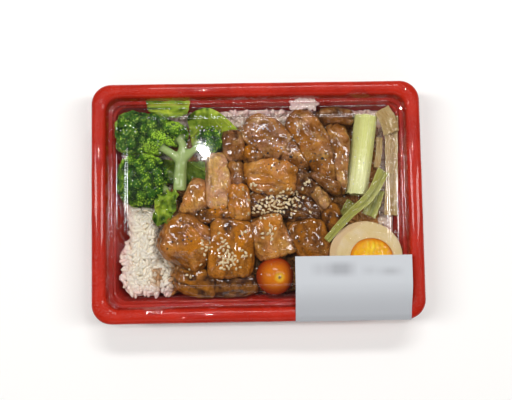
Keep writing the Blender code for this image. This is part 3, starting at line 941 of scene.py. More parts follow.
@dataclass(frozen=True)
class LeafFinish(Finish):
    """A wet leaf or onion skin; "tint" holds its light and dark parts, painted light and shade among them.

    A number of lines run along it, lined is how strongly they show, and wet is the weight of a wet layer.
    """

    name: str
    body: Colour
    light: Colour
    dark: Colour
    lines: float = 30.0
    lined: float = 0.5
    wet: float = 0.22

    def dress(self, tree: Tree) -> None:
        """Lay the light lines and the dark folds, which carry painted shade, over the leaf's own colour."""
        parts, patches = tree.tones(), tree.patches(110, 0.9)
        fibres = tree.place(EFFECTS.fibres, Lines=self.lines, Length=2.4, Waver=0.05)
        light = tree.plus(parts["Red"], tree.times(tree.times(fibres["Mask"], self.lined), patches))
        dark = tree.plus(parts["Green"], tree.times(tree.math("SUBTRACT", patches, 0.6), 0.5))
        colour = tree.layered(self.body, (light, self.light), (dark, self.dark))
        crinkled = tree.bump(tree.grit(420, 0.3), 0.7, 0.0008, tree.bump(fibres["Height"], 0.6, 0.0005))
        gloss = Gloss(specular=0.1, coat=self.wet, coat_roughness=0.06)
        gloss.shade(tree, colour, roughness=tree.spread(patches, 0.2, 0.38), normal=crinkled)


@dataclass(frozen=True)
class SeedCoat(Finish):
    """Toasted sesame or cracked pepper, between two tones by "tint"."""

    name: str
    dark: Colour
    light: Colour
    roughness: float = 0.35

    def dress(self, tree: Tree) -> None:
        """Give each seed its own tone."""
        share = tree.plus(tree.tones()["Red"], tree.times(tree.patches(900, 0.7), 0.3))
        colour, fine = tree.blend(share, self.dark, self.light), tree.bump(tree.grit(2400, 0.4), 0.25, 0.0002)
        Gloss(roughness=self.roughness, coat=0.35).shade(tree, colour, normal=fine)


# ---- the pack


@dataclass
class RoundedOutline:
    """A rounded rectangle that is drawn once and then extruded line by line, as by hand.

    Its corner radius shrinks by a share of the inset, down to the inner radius.
    """

    half_x: float
    half_y: float
    outer_radius: float = 14.0
    inner_radius: float = 8.0
    shrink: float = 0.45
    corner_steps: int = 12
    side_cuts: int = 20

    def start(self, name: str) -> Piece:
        """Draw the outline as one flat face and note where on it each point belongs.

        Args:
            name: the piece's name.

        Returns:
            The flat piece.
        """
        piece = primitive(name, bpy.ops.mesh.primitive_plane_add, size=2)
        straight = 2 * (self.half_y - self.outer_radius) * MM
        with editing(piece):
            bpy.ops.transform.resize(value=(self.half_x * MM, self.half_y * MM, 1))
            bpy.ops.mesh.bevel(offset=self.outer_radius * MM, segments=self.corner_steps, affect="VERTICES")
            bpy.ops.mesh.select_mode(type="EDGE")
            for edge in edited(piece).edges:
                edge.select_set(edge.calc_length() > 0.9 * straight)
            bpy.ops.mesh.subdivide(number_cuts=self.side_cuts)
            mesh = edited(piece)
            flat = mesh.verts.layers.float_vector.new("flat")
            spoke = mesh.verts.layers.float_vector.new("spoke")
            reach = Vector((self.half_x - self.outer_radius, self.half_y - self.outer_radius))
            for vert in mesh.verts:
                across = [vert.co[axis] / MM for axis in range(2)]
                held = [max(-reach[axis], min(reach[axis], across[axis])) for axis in range(2)]
                vert[flat] = (held[0] / reach[0], held[1] / reach[1], 0)
                away = Vector((across[0] - held[0], across[1] - held[1], 0))
                vert[spoke] = away.normalized()
            bpy.ops.mesh.select_mode(type="FACE")
            bpy.ops.mesh.select_all(action="SELECT")
        return piece

    def spot(self, flat: Vector, spoke: Vector, inset: float) -> Vector:
        """Where a point of the outline lies on the line at this inset."""
        radius = max(self.inner_radius, self.outer_radius - self.shrink * inset)
        reach_x, reach_y = self.half_x - inset - radius, self.half_y - inset - radius
        return Vector((flat.x * reach_x + spoke.x * radius, flat.y * reach_y + spoke.y * radius, 0))

    def extruded(self, name: str, profile: Sequence[Pair], shape: Callable[..., Vector]) -> Piece:
        """Extrude the outline's face through the lines of a profile; the face stays as the last line's floor.

        Args:
            name: the piece's name.
            profile: each line's inset and height; the first line moves the outline itself.
            shape: moves a point further, given its place, its spoke, the inset and the height.

        Returns:
            The new piece.
        """
        piece = self.start(name)
        with editing(piece, "FACE"):
            for number, (inset, height) in enumerate(profile):
                if number:
                    bpy.ops.mesh.extrude_region_move()
                mesh = edited(piece)
                flat = mesh.verts.layers.float_vector["flat"]
                spoke = mesh.verts.layers.float_vector["spoke"]
                for vert in mesh.verts:
                    if vert.select:
                        place = self.spot(vert[flat], vert[spoke], inset) + Vector((0, 0, height))
                        vert.co = shape(place, vert[spoke], inset, height) * MM
                if number == 1:
                    mesh.faces.ensure_lookup_table()
                    lowest = [face for face in mesh.faces if not face.select and len(face.verts) > 4]
                    bmesh.ops.delete(mesh, geom=lowest, context="FACES_ONLY")
                bmesh.update_edit_mesh(piece.data)
        return piece


@dataclass
class Tray:
    """The red tray: a rolled rim, stepped walls and a raised foot."""

    wall: float = 1.2
    skirt_bottom: float = 29.5
    rim_edge: float = 33.0
    rim_rise: float = 3.4
    rim_width: float = 10.0
    rim_steps: int = 18
    steps: tuple[Pair, ...] = (
        (10.3, 31), (10.9, 28.6), (13.2, 28.2), (13.9, 25.6), (15.2, 25.1),
        (19.6, 3.4), (20.6, 1.9), (22.4, 1.2), (34, 1.2), (36, 2.4),
    )  # fmt: skip

    def profile(self) -> list[Pair]:
        """The inset and height of every line, from the skirt over the rim and down to the foot.

        Returns:
            The lines in order.
        """
        lines = [(0, self.skirt_bottom), (0, self.rim_edge - 1)]
        for step in range(self.rim_steps + 1):
            turn = math.pi * step / self.rim_steps
            inset = self.rim_width / 2 * (1 - math.cos(turn))
            lines.append((inset, self.rim_edge + self.rim_rise * math.sin(turn)))
        return lines + soften(((self.rim_width, self.rim_edge), *self.steps), 0.45)[1:]

    def build(self) -> None:
        """Model the tray and dress it."""
        outline = RoundedOutline(*box_of("tray")[1][:2], corner_steps=14, side_cuts=48)
        piece = outline.extruded("tray_shell", self.profile(), self.settle)
        apply_modifier(piece, "SOLIDIFY", thickness=self.wall * MM, offset=-1, use_even_offset=True)
        apply_modifier(piece, "BEVEL", width=0.12 * MM, segments=2, limit_method="ANGLE", angle_limit=0.9)
        hand_over(piece, RedPlastic().material(), "tray", "tray", crease=50)

    def settle(self, place: Vector, spoke: Vector, inset: float, height: float) -> Vector:
        """Let the moulded walls waver a little, as thin foam plastic does.

        Args:
            place: the point.
            spoke: the way outwards from it.
            inset: how far in its line is.
            height: how high its line is.

        Returns:
            The moved point.
        """
        if height < 2 or inset < 0.1:
            return place
        waver = 0.16 * math.sin(place.x * 0.11 + place.y * 0.07) * math.sin(place.y * 0.13 - 0.6)
        return place + spoke * waver


@dataclass
class Lid:
    """The clear lid: a lip inside the rim, a fluted wall, two tabs, two notches and a stepped panel."""

    wall: float = 0.4
    profile: tuple[Pair, ...] = (
        (10.3, 33.8), (10.8, 33.2), (11.5, 30.9), (13.4, 30.5), (14.3, 33),
        (15.2, 37), (16.6, 40), (19, 41.4), (25.2, 41.6), (26.4, 42.6),
    )  # fmt: skip
    tab_centre: float = 72.5
    tab_radius: float = 7.5
    notch_centre: float = 0.5
    notch_half: float = 8.5
    notch_flat: float = 4.0
    flutes: float = 9.0
    flute_depth: float = 0.4
    panel_lines: tuple[float, ...] = (27, 28, 33, 40, 50, 62)

    def shape(self, place: Vector, spoke: Vector, inset: float, height: float) -> Vector:
        """Bulge the lip at the tabs, step the wall in at the notches and flute the corners.

        Args:
            place: the point.
            spoke: the way outwards from it.
            inset: how far in its line is.
            height: how high its line is.

        Returns:
            The moved point.
        """
        moved = place.copy()
        if abs(spoke.y) > 0.999:
            side = math.copysign(1, spoke.y)
            off_tab = (place.x - side * self.tab_centre) / self.tab_radius
            if inset < 10.9 and abs(off_tab) < 1:
                dome = math.sqrt(1 - off_tab**2)
                share = (10.9 - inset) / 0.6
                moved.y += side * dome * (1.2 + 2.9 * share)
                moved.z += dome**0.25 * (2.8 + 0.4 * share)
            depth = float(soft_step(abs(place.x - side * self.notch_centre), self.notch_half, self.notch_flat))
            wall = float(soft_step(inset, 13.6, 14.8) * soft_step(inset, 25, 18.6))
            moved.y -= side * 2.4 * depth * wall
        corner = 4 * (spoke.x * spoke.y) ** 2
        wall = float(soft_step(inset, 13.6, 14.6) * soft_step(inset, 21.5, 17.5))
        turn = math.atan2(abs(spoke.y), abs(spoke.x))
        moved += spoke * self.flute_depth * corner * wall * math.cos(4 * self.flutes * turn)
        panel = float(soft_step(inset, 26, 30))
        moved.z += 0.05 * panel * math.sin(place.x * 0.045 + 1) * math.cos(place.y * 0.05)
        return moved

    def build(self) -> None:
        """Model the lid and dress it."""
        outline = RoundedOutline(*box_of("tray")[1][:2], corner_steps=36, side_cuts=110)
        panel = [(inset, self.profile[-1][1]) for inset in self.panel_lines]
        piece = outline.extruded("lid_film", soften(self.profile, 0.35) + panel, self.shape)
        apply_modifier(piece, "SOLIDIFY", thickness=self.wall * MM, offset=-1, use_even_offset=False)
        hand_over(piece, ClearFilm().material(), "lid", "lid", crease=60)


@dataclass
class Label:
    """The paper label: flat on the lid's panel, sloping down to the rim and over it."""

    thickness: float = 0.2
    fold: float = -57.0
    rim_fall: float = 2.0

    def height(self, y: Array) -> Array:
        """The height of the label's underside at each y."""
        panel, (_, tray_side, tray_top) = box_of("lid")[1].z + 0.3, box_of("tray")[1]
        slope = soft_step(y, self.fold, 2 - tray_side)
        fall = self.rim_fall * soft_step(y, 4.5 - tray_side, -1.5 - tray_side)
        return panel + (tray_top + 0.5 - panel) * slope - fall

    def build(self) -> None:
        """Model the label and dress it."""
        low, high = box_of("label")
        piece = grid_piece("label_sheet", 40, 40)
        flat = points_of(piece) * MM + 0.5
        x = low.x + (high.x - low.x) * flat[:, 0]
        y = low.y + 0.1 + (high.y - 0.1 - low.y) * flat[:, 1]
        waver = 0.12 * ripple(rows(x, y, 0) / 21, 3)
        set_points(piece, rows(x, y, self.height(y) - 0.1 + waver))
        apply_modifier(piece, "SOLIDIFY", thickness=self.thickness * MM, offset=1)
        hand_over(piece, LabelPaper().material(), "label", "label", crease=40)


# ---- the food


class Ground:
    """The upper surfaces that scattered things land on."""

    def __init__(self, pieces: Sequence[Piece]) -> None:
        """Gather the faces of the pieces, in millimetres.

        Args:
            pieces: the mesh objects.
        """
        points: list[Vector] = []
        faces: list[tuple[int, ...]] = []
        self.owners: list[str] = []
        for piece in pieces:
            first = len(points)
            points.extend(Vector(row) for row in points_of(piece))
            for face in piece.data.polygons:
                faces.append(tuple(first + corner for corner in face.vertices))
                self.owners.append(piece.name)
        self.tree = BVHTree.FromPolygons(points, faces)

    def drop(self, x: float, y: float) -> tuple[Vector, Vector, str] | None:
        """Where a thing dropped at x, y lands: the place, the surface's normal and the piece's name."""
        place, normal, face, _ = self.tree.ray_cast(Vector((x, y, ABOVE_ALL)), Vector((0, 0, -1)))
        return None if place is None else (place, normal, self.owners[face])


def lying_on(normal: Vector, turn: float, tilt: float = 0) -> Matrix:
    """A turn that lays a form's X along a surface and its Z along the normal.

    Args:
        normal: the surface's normal.
        turn: the heading of X about the normal, in radians.
        tilt: how far X rises off the surface, in radians.

    Returns:
        The turn.
    """
    upright = normal.to_track_quat("Z", "Y").to_matrix()
    return (upright @ Matrix.Rotation(turn, 3, "Z") @ Matrix.Rotation(-tilt, 3, "Y")).to_4x4()


def remeshed(piece: Piece, voxel: float, rounds: int) -> Piece:
    """Give a closed piece an even dense skin with rounded edges.

    Args:
        piece: the piece.
        voxel: the size of the new faces, in millimetres.
        rounds: smoothing rounds.

    Returns:
        The same piece.
    """
    apply_modifier(piece, "REMESH", mode="VOXEL", voxel_size=voxel * MM, use_smooth_shade=True)
    apply_modifier(piece, "SMOOTH", factor=0.5, iterations=rounds)
    return piece


@dataclass(frozen=True)
class Relief:
    """Heights of a cut's surface in millimetres, from broad lumps to fine muscle lines."""

    lump: float
    knob: float
    crease: float
    fibre: float
    grain: float


class Meat(Enum):
    """The kinds of cut in the tray."""

    SLICE = Relief(1.3, 0.45, 0.7, 0.16, 0.06)
    SKIN = Relief(1.4, 0.5, 0.3, 0.05, 0.08)
    FAT = Relief(1.5, 0.9, 0.6, 0.06, 0.08)
    TORN = Relief(1, 0.6, 1.7, 0.5, 0.14)
    GLAZED = Relief(1.5, 1.3, 1, 0.22, 0.16)


@dataclass(frozen=True)
class Cut:
    """One piece of chicken: its node, its kind, the heading of its fibres and its three tones."""

    node: str
    kind: Meat
    heading: float
    pale: float
    orange: float
    sauce: float


@dataclass(frozen=True)
class Splash:
    """A patch on the chicken: its middle, how far it reaches each way, its tones and how far it stands up."""

    x: float
    y: float
    reach_x: float
    reach_y: float
    pale: float = 0.0
    orange: float = 0.0
    sauce: float = 0.0
    rise: float = 0.0


@dataclass
class Chicken:
    """The sliced grilled chicken: each cut is a soft glazed form with its own folds and patches of sauce."""

    voxel: float = 0.62
    rounds: int = 20
    swell: float = 1.35
    touch: float = 2.2
    ceiling: float = 41.2
    walls: Pair = (88, 64)
    cuts: tuple[Cut, ...] = tuple(Cut("chicken_" + name, *rest) for name, *rest in (
        ("back_dome", Meat.SKIN, -38, 0.3, 0.1, 0),
        ("slice_long_left", Meat.SLICE, -60, 0.28, 0.18, -0.05),
        ("slice_long_right", Meat.SLICE, -81, 0.28, 0.12, 0),
        ("back_corner", Meat.GLAZED, -3, 0.12, 0.05, 0.3),
        ("right_tip", Meat.SKIN, -25, 0.25, 0.25, 0.12),
        ("wedge", Meat.SKIN, -95, 0.15, 0, 0.34),
        ("curl", Meat.FAT, 70, 0.15, 0.35, 0.28),
        ("peppered", Meat.GLAZED, -60, 0.2, 0.08, 0.08),
        ("skin_fold", Meat.FAT, -12, 0.56, 0.48, 0),
        ("grain_slice", Meat.TORN, -86, 1.05, 0, -0.1),
        ("left_lobes", Meat.SLICE, -80, 0.55, 0.38, 0),
        ("orange_fat", Meat.FAT, -85, 0.46, 0.6, 0),
        ("orange_base", Meat.GLAZED, 12, 0, 0.65, 0.67),
        ("front_round", Meat.SKIN, -35, 0.15, 0.38, 0.02),
        ("sesame_slice", Meat.SLICE, -95, 0.1, 0.62, 0.06),
        ("middle_slice", Meat.SLICE, -66, 0.48, 0.42, 0),
        ("right_slice", Meat.SLICE, -62, 0.08, 0.42, 0.18),
        ("knob", Meat.TORN, -66, 0.72, 0, 0.08),
        ("strip", Meat.SKIN, -65, 0, 0.7, 0.66),
        ("low_left", Meat.SKIN, -16, 0.06, 0.65, 0.42),
        ("low_middle", Meat.SKIN, 3, 0.03, 0.5, 0.7),
        ("glazed", Meat.GLAZED, -10, 0, 0.55, 1.15),
        ("seeded", Meat.GLAZED, -4, 0.04, 0.45, 0.75),
        ("small", Meat.GLAZED, -84, 0.25, 0.2, 0.1),
        ("dark_side", Meat.GLAZED, -35, 0.08, 0.2, 0.45),
    ))  # fmt: skip
    splashes: tuple[Splash, ...] = tuple(Splash(*row) for row in (
        (-45.5, -27, 6.2, 9.5, 0, 0.95, 0, 0.7), (-26.8, -6, 7, 4, 0, 0.9, 0, 0.5), (-12.5, -24.3, 4, 9, 0, 0.7),
        (-7, 34.5, 4.2, 5, 0, 0.8, 0, 0.4), (-19, 7.8, 4, 5, 0, 0.8, 0, 0.3), (14, 22, 9, 9, 0.2, 0.35, 0, 0.5),
        (2.5, 5, 8, 5, 0.2, 0.45), (2, -8, 7, 6, 0, 0.25, 0.7), (17, -6, 12, 6, 0, 0, 0.7),
        (-21, -17, 4.5, 6, 0, 0, 0.65), (-40, -8, 5, 4, 0, 0, 0.4), (8, -17, 9, 5, 0, 0.4),
        (-47, -53, 4.5, 3, 0, 0, 0.7, 0.5), (-30, -20, 6, 8, 0.35, 0.1), (58, 20, 6, 12, 0.35),
        (30, 35, 5, 12, 0, 0.2), (1, 30, 5, 7, 0.3, 0, 0, 0.4), (34, 13, 5, 7, 0, 0, 0.5),
        (12, 30, 6, 3.5, 0, 0, 0.35),
    ))  # fmt: skip

    def shape(self, piece: Piece, cut: Cut, seed: int, others: BVHTree) -> None:
        """Raise the folds and fibres of one cut and paint its tones, with painted light on its ridges and painted
        shade in its creases, on its low sides and in its cracks.

        Args:
            piece: the cut's dense skin.
            cut: its kind and tones.
            seed: picks its own pattern.
            others: the cuts round it; the cracks against them get painted shade in the dark sauce tone.
        """
        points, normals = points_of(piece), normals_of(piece)
        x, y, z = points.T
        relief, turn = cut.kind.value, math.radians(cut.heading)
        along = x * math.cos(turn) + y * math.sin(turn)
        across = y * math.cos(turn) - x * math.sin(turn) + 2.4 * ripple(points / 15, seed + 90)
        lumps, knobs = ripple(points / 13, seed), ripple(points / 6, seed + 15)
        crease = soft_step(np.abs(ripple(rows(along / 22, across / 8, z / 9), seed + 30)), 0.2, 0)
        fibres = ripple(rows(along / 12, across / 2, z / 2.6), seed + 60)
        wrinkles = ripple(rows(along / 3.4, across / 1.5, z / 2), seed + 120)
        lift = self.swell + relief.lump * lumps + relief.knob * knobs - relief.crease * crease
        lift += relief.fibre * fibres + relief.grain * wrinkles
        height = soft_step(z, z.max() - 9, z.max() - 1)
        # painted light: raised lumps and knobs paler; painted shade: lower sides less pale
        pale = cut.pale + (0.1 + 0.5 * relief.fibre) * fibres + 0.25 * lumps + 0.3 * knobs - 0.2 * (1 - height)
        orange = cut.orange + 0.45 * ripple(points / 9, seed + 150) + 0.3 * knobs
        specks = soft_step(ripple(points / 2.6, seed + 200), 0.42, 0.62)
        # the cut's sauce and sauce specks, plus painted shade in the creases and on the lower sides
        sauce = cut.sauce + crease * (0.3 + cut.sauce) + 0.3 * (1 - height) + 0.35 * specks
        for splash in self.splashes:
            away = away_from(points, (splash.x, splash.y), (splash.reach_x, splash.reach_y))
            inside = soft_step(away + 0.35 * ripple(points / 4.5, 7), 1.1, 0.55) * (normals[:, 2] > -0.2)
            pale += splash.pale * inside
            orange += splash.orange * inside
            sauce += splash.sauce * inside - 0.7 * splash.orange * inside * sauce
            lift += splash.rise * inside
        points += normals * lift[:, None]
        points[:, 2] = np.minimum(z, self.ceiling)
        low, high = (np.array(corner)[:2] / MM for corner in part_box(cut.node))
        points[:, :2] = np.clip(points[:, :2], np.minimum(low, -np.array(self.walls)), np.maximum(high, self.walls))
        set_points(piece, points)
        away = np.array([others.find_nearest(Vector(point), self.touch)[3] or self.touch for point in points])
        uneven = 0.55 + 0.9 * ripple(points / 8, seed + 240)
        # painted shade: the sauce tone where another cut lies close, in the cracks between cuts
        painted_crack_shade = soft_step(away, self.touch, 0.25 * self.touch) * np.clip(uneven, 0.1, 1)
        paint(piece, "dressing", pale, orange, sauce + 0.95 * painted_crack_shade)

    def build(self) -> list[Piece]:
        """Model every cut and dress it.

        Returns:
            The cuts.
        """
        finish = GlazedMeat().material()
        pieces = []
        for seed, cut in enumerate(self.cuts):
            piece = remeshed(cad_copy(cut.node, cut.node + "_cut"), self.voxel, self.rounds)
            others = Ground([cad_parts[other.node] for other in self.cuts if other is not cut])
            self.shape(piece, cut, seed, others.tree)
            hand_over(piece, finish, "chicken", cut.node)
            pieces.append(piece)
        return pieces


@dataclass
class Rice:
    """Steamed rice: a low pressed core under loose grains wherever the toppings leave it in sight."""

    length: float = 6.3
    width: float = 3.2
    drop: float = 1.9
    spacing: float = 2.15
    pressed: float = 0.5
    shrunk: float = 0.35
    reach: float = 3.0
    corner: float = 12.0
    bay: Place = (-17.5, 16, 7)
    stain: tuple[float, ...] = (-72, -52.5, 3.6, 8)
    under: Place = (-62, 88, 58)

    def build_core(self) -> None:
        """Press the bed into one low form with the print of grains."""
        piece = remeshed(cad_copy("rice", "rice_core"), 1.3, 2)
        points, normals = points_of(piece), normals_of(piece)
        top = soft_step(normals[:, 2], 0.2, 0.7)
        lift = 0.7 * ripple(points / 5, 2) + 0.5 * ripple(points / 2.6, 3)
        within, inward = self.within(points)
        sunk = 1.2 * soft_step(within, 8, 1) * (points[:, 2] > self.low.z + 6)
        points[:, 2] += top * (lift - self.drop) - sunk
        set_points(piece, points + inward * np.maximum(1.2 - within, 0)[:, None])
        # green: painted red bounce light from the walls; blue: real stains
        paint(piece, "tint", 0.45, self.red_wall_bounce(points), self.stained(points))
        hand_over(piece, self.finish, "rice", "rice")

    def within(self, points: Array) -> tuple[Array, Array]:
        """How far inside the heap's ragged left and front edge each place is, and which way is in.

        Args:
            points: the places, one row each.

        Returns:
            The distances, and the ways in.
        """
        out_x, out_y = (np.maximum(self.low[axis] + self.corner - points[:, axis], 0) for axis in range(2))
        out = np.hypot(out_x, out_y) + 1e-9
        middle, half, depth = self.bay
        ragged = 2.6 * np.clip(0.35 + 1.3 * ripple(points * (0.16, 0.16, 0), 21), 0, 1)
        ragged += depth * soft_step(np.abs(points[:, 1] - middle), half, 2) * soft_step(out_x, 0, 9)
        return self.corner - out - ragged, rows(out_x / out, out_y / out, 0)

    def red_wall_bounce(self, points: Array) -> Array:
        """How much painted red bounce light from the tray walls each place takes, more towards the heap's sides."""
        low, high = box_of("rice")
        edge = np.minimum(points[:, :2] - low[:2], high[:2] - points[:, :2]).min(axis=1)
        return 0.75 * soft_step(edge, 13, 0)

    def stained(self, points: Array) -> Array:
        """Where a spill of glaze has soaked in, and the sauce under the chicken.

        Args:
            points: the places, one row each.

        Returns:
            How stained each place is.
        """
        away = away_from(points, self.stain[:2], self.stain[2:])
        spill = 0.9 * soft_step(away + 0.4 * ripple(points / 5, 11), 1.1, 0.5)
        left, right, back = self.under
        half = (right - left) / 2
        inside = soft_step(np.abs(points[:, 0] - (left + right) / 2), half + 3, half - 3)
        return np.maximum(spill, 1.6 * inside * soft_step(points[:, 1], back, back - 6))

    def grain_form(self) -> Form:
        """One plump grain, bent a little and narrower at one end."""
        points, faces = oval_form(8, self.length, self.width, 0.9 * self.width)
        share = points[:, 0] / (self.length / 2)
        points[:, 1] = points[:, 1] * (1 - 0.14 * share) + 0.15 * (share**2 - 0.4)
        return points, faces

    def build_grains(self) -> None:
        """Scatter loose grains over the core and press them against each other."""
        ground = Ground([node for name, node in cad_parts.items() if name not in ("tray", "lid", "label")])
        low, high = box_of("rice")
        picker = random.Random(5)
        places, tints = [], []
        circle = np.arange(0, 6.2, 0.79)
        around = [(0, 0)] + [(self.reach * math.cos(turn), self.reach * math.sin(turn)) for turn in circle]
        for y in np.arange(low.y + 1.8, high.y - 1.4, self.spacing):
            for x in np.arange(low.x + 1.8, high.x - 1.4, self.spacing):
                spot = (x + picker.uniform(-1.2, 1.2), y + picker.uniform(-1.2, 1.2))
                edge_x, edge_y = high.x - spot[0], spot[1] - low.y
                round_out = math.hypot(max(10 - edge_x, 0), max(10 - edge_y, 0))
                if self.within(np.array([[*spot, 0]]))[0][0] < 1.4 or round_out > 7.9:
                    continue
                hits = [ground.drop(spot[0] + a, spot[1] + b) for a, b in around]
                seen = [hit for hit in hits if hit is not None and hit[2] == "rice"]
                if len(seen) < 2 or hits[0] is None:
                    continue
                height = seen[0][0].z if hits[0][2] != "rice" else hits[0][0].z
                normal = seen[0][1]
                turn = picker.uniform(0, math.pi)
                if min(edge_x, edge_y) < 3.6:
                    turn = picker.uniform(-0.35, 0.35) + (math.pi / 2 if edge_x < edge_y else 0)
                lean = picker.uniform(-0.3, 0.3)
                layer = picker.choice((-1.3, -0.6, 0.1)) + picker.uniform(-0.3, 0.3)
                if high.y - spot[1] < 7:
                    turn, lean = picker.choice((-1.6, 1.6)) + picker.uniform(-0.8, 0.8), picker.uniform(0, 0.7)
                    layer += picker.uniform(0, 0.9)
                size = picker.uniform(0.86, 1.12)
                place = Matrix.Translation((*spot, height + layer)) @ lying_on(normal, turn, lean)
                roll = Matrix.Rotation(picker.uniform(0, 6.28), 4, "X")
                places.append(place @ roll @ Matrix.Scale(size, 4))
                tints.append(picker.uniform(0, 0.55) ** 1.6)
        low, high = box_of("rice_clump")
        for y in np.arange(low.y + 0.8, high.y, 1.4):
            for x in np.arange(low.x, high.x, 2.2):
                hit = ground.drop(x + picker.uniform(-1, 1), y + picker.uniform(-0.5, 0.5))
                if hit is None or hit[2] != "rice_clump":
                    continue
                size = picker.uniform(0.7, 1)
                squash = Matrix.Diagonal((size, size, self.pressed, 1))
                flat = lying_on(hit[1], picker.uniform(0, math.pi), picker.uniform(-0.2, 0.2)) @ squash
                places.append(Matrix.Translation(hit[0] - Vector((0, 0, picker.uniform(0.3, 0.8)))) @ flat)
                tints.append(picker.uniform(0, 0.5))
        spots = np.array([place.translation for place in places])
        # painted red bounce light from the walls, uneven from grain to grain
        rosy = self.red_wall_bounce(spots) * [picker.uniform(0.6, 1.3) for _ in places]
        tints = rows(tints, rosy, self.stained(spots))
        hand_over(joined_copies("rice_grains", self.grain_form(), places, tints), self.finish, "rice")

    def build_clump(self) -> None:
        """Model the thin core of the clump that the lid presses onto the back ledge."""
        piece = remeshed(cad_copy("rice_clump", "rice_clump_core"), 0.4, 2)
        set_points(piece, points_of(piece) - self.shrunk * normals_of(piece))
        # green: painted red bounce light from the rim and walls
        paint(piece, "tint", 0.3, 0.4)
        hand_over(piece, self.finish, "rice", "rice_clump")

    def build(self) -> None:
        """Model the cores and their grains."""
        self.finish = CookedRice().material()
        self.low = box_of("rice")[0]
        self.build_core()
        self.build_clump()
        self.build_grains()


@dataclass
class Broccoli:
    """Two sprigs of broccoli: clumped domes thick with small buds, on pale branching stalks."""

    clump: float = 5.6
    clump_rise: float = 1.4
    swell: float = 1.2
    bud_size: float = 0.66
    bud_gap: float = 1.05
    stalks: tuple[tuple[tuple[float, ...], ...], ...] = (
        ((-55, 8.5, 28, 5.2), (-54.5, 20, 28.5, 4.8), (-53, 32, 30, 4.2)),
        ((-53.5, 29, 29.5, 4), (-59.5, 34.5, 30.5, 3.2), (-66, 38.5, 31, 2.8)),
        ((-53.2, 30, 29.5, 4), (-52, 41, 31, 3.2), (-54, 45, 31, 3)),
        ((-53, 29.5, 29.5, 3.8), (-45.5, 36.5, 30.5, 2.7), (-39, 41, 30.5, 2.6)),
        ((-70, 12, 25, 4.5), (-63.6, 8, 25, 3)),
    )
    bright: tuple[Place, ...] = (
        (-74.5, 36.5, 9), (-62, 42.5, 7.5), (-57, 57, 7.5), (-69, 47, 5),
    )  # fmt: skip

    def stalk_share(self, points: Array) -> Array:
        """1 on the stalks and 0 on the heads, by the distance from each stalk's line.

        Args:
            points: the places, one row each.

        Returns:
            One share for each place.
        """
        nearest = np.full(len(points), 9)
        for route in self.stalks:
            stops = np.array(route)
            for first, second in zip(stops, stops[1:]):
                line = second[:3] - first[:3]
                share = np.clip((points - first[:3]) @ line / (line @ line), 0, 1)
                radius = first[3] + (second[3] - first[3]) * share
                away = np.linalg.norm(points - first[:3] - share[:, None] * line, axis=1) - radius
                nearest = np.minimum(nearest, away)
        return soft_step(nearest, 1.3, 0.5)

    def build_sprig(self, node: str, seed: int) -> None:
        """Model one sprig and its buds.

        Args:
            node: its CAD node.
            seed: picks its own clumps.
        """
        piece = remeshed(cad_copy(node, node + "_sprig"), 0.75, 6)
        points, normals = points_of(piece), normals_of(piece)
        stalk = self.stalk_share(points)
        centres = self.spread(points, self.clump, seed)
        away = np.array([centres.find(point)[2] for point in points])
        dome = np.sqrt(np.maximum(0, 1 - (away / (0.72 * self.clump)) ** 2))
        broad = 1.6 * ripple(points / 12, seed + 6)
        head = self.swell + broad + self.clump_rise * (dome - 0.75) + 0.8 * ripple(points / 2.4, seed)
        lift = (1 - stalk) * head + stalk * (0.35 * ripple(points / 5, seed + 4) - 0.1)
        points += normals * lift[:, None]
        set_points(piece, points)
        # painted shade: darker away from the top of each clump
        hollow = (1 - dome) * 0.9 + 0.35
        paint(piece, "tint", self.lightness(points) * 0.4, stalk, hollow * (1 - stalk))
        hand_over(piece, self.finish, "broccoli", node)
        self.build_buds(piece, points, normals, stalk, dome, seed)

    @staticmethod
    def spread(points: Array, gap: float, seed: int) -> KDTree:
        """Pick points of a mesh so that no two are nearer than the gap.

        Args:
            points: the mesh's points.
            gap: the gap, in millimetres.
            seed: picks them.

        Returns:
            The chosen points by their numbers.
        """
        order = np.random.default_rng(seed).permutation(len(points))
        cells: dict[tuple[int, int, int], list[Array]] = {}
        chosen: list[int] = []
        for number in order:
            point = points[number]
            key = tuple(int(value // gap) for value in point)
            around = (tuple(key[axis] + step[axis] - 1 for axis in range(3)) for step in np.ndindex(3, 3, 3))
            near = (other for cell in around for other in cells.get(cell, ()))
            if all(((other - point) ** 2).sum() > gap * gap for other in near):
                cells.setdefault(key, []).append(point)
                chosen.append(int(number))
        tree = KDTree(len(chosen))
        for number in chosen:
            tree.insert(points[number], number)
        tree.balance()
        return tree

    def lightness(self, points: Array) -> Array:
        """How yellow-green each place is."""
        light = 0.1 + 0.3 * ripple(points / 7, 21)
        for x, y, reach in self.bright:
            light += soft_step(away_from(points, (x, y)) + 1.5 * ripple(points / 4, 5), reach, 0.4 * reach)
        return np.clip(light, 0, 1)

    def build_buds(self, piece: Piece, points: Array, normals: Array, stalk: Array, dome: Array, seed: int) -> None:
        """Cover a head with small round buds.

        Args:
            piece: the sprig.
            points: its points.
            normals: their normals.
            stalk: how far each is on a stalk.
            dome: how high on its clump each is.
            seed: picks the buds.
        """
        wanted = np.flatnonzero((stalk < 0.25) & (normals[:, 2] > -0.25) & (points[:, 2] > 20))
        tree = self.spread(points[wanted], self.bud_gap, seed + 1)
        picker = random.Random(seed)
        light = self.lightness(points)
        places, tints = [], []
        for place, index, _ in tree.find_range(Vector(points[wanted].mean(axis=0)), 500):
            number = wanted[index]
            size = picker.uniform(0.75, 1.2)
            turn, axis = picker.uniform(0, 6.28), Vector([picker.random() for _ in range(3)])
            spin = Matrix.Rotation(turn, 4, axis)
            spot = place + Vector(normals[number]) * picker.uniform(0, 0.35)
            places.append(Matrix.Translation(spot) @ spin @ Matrix.Scale(size, 4))
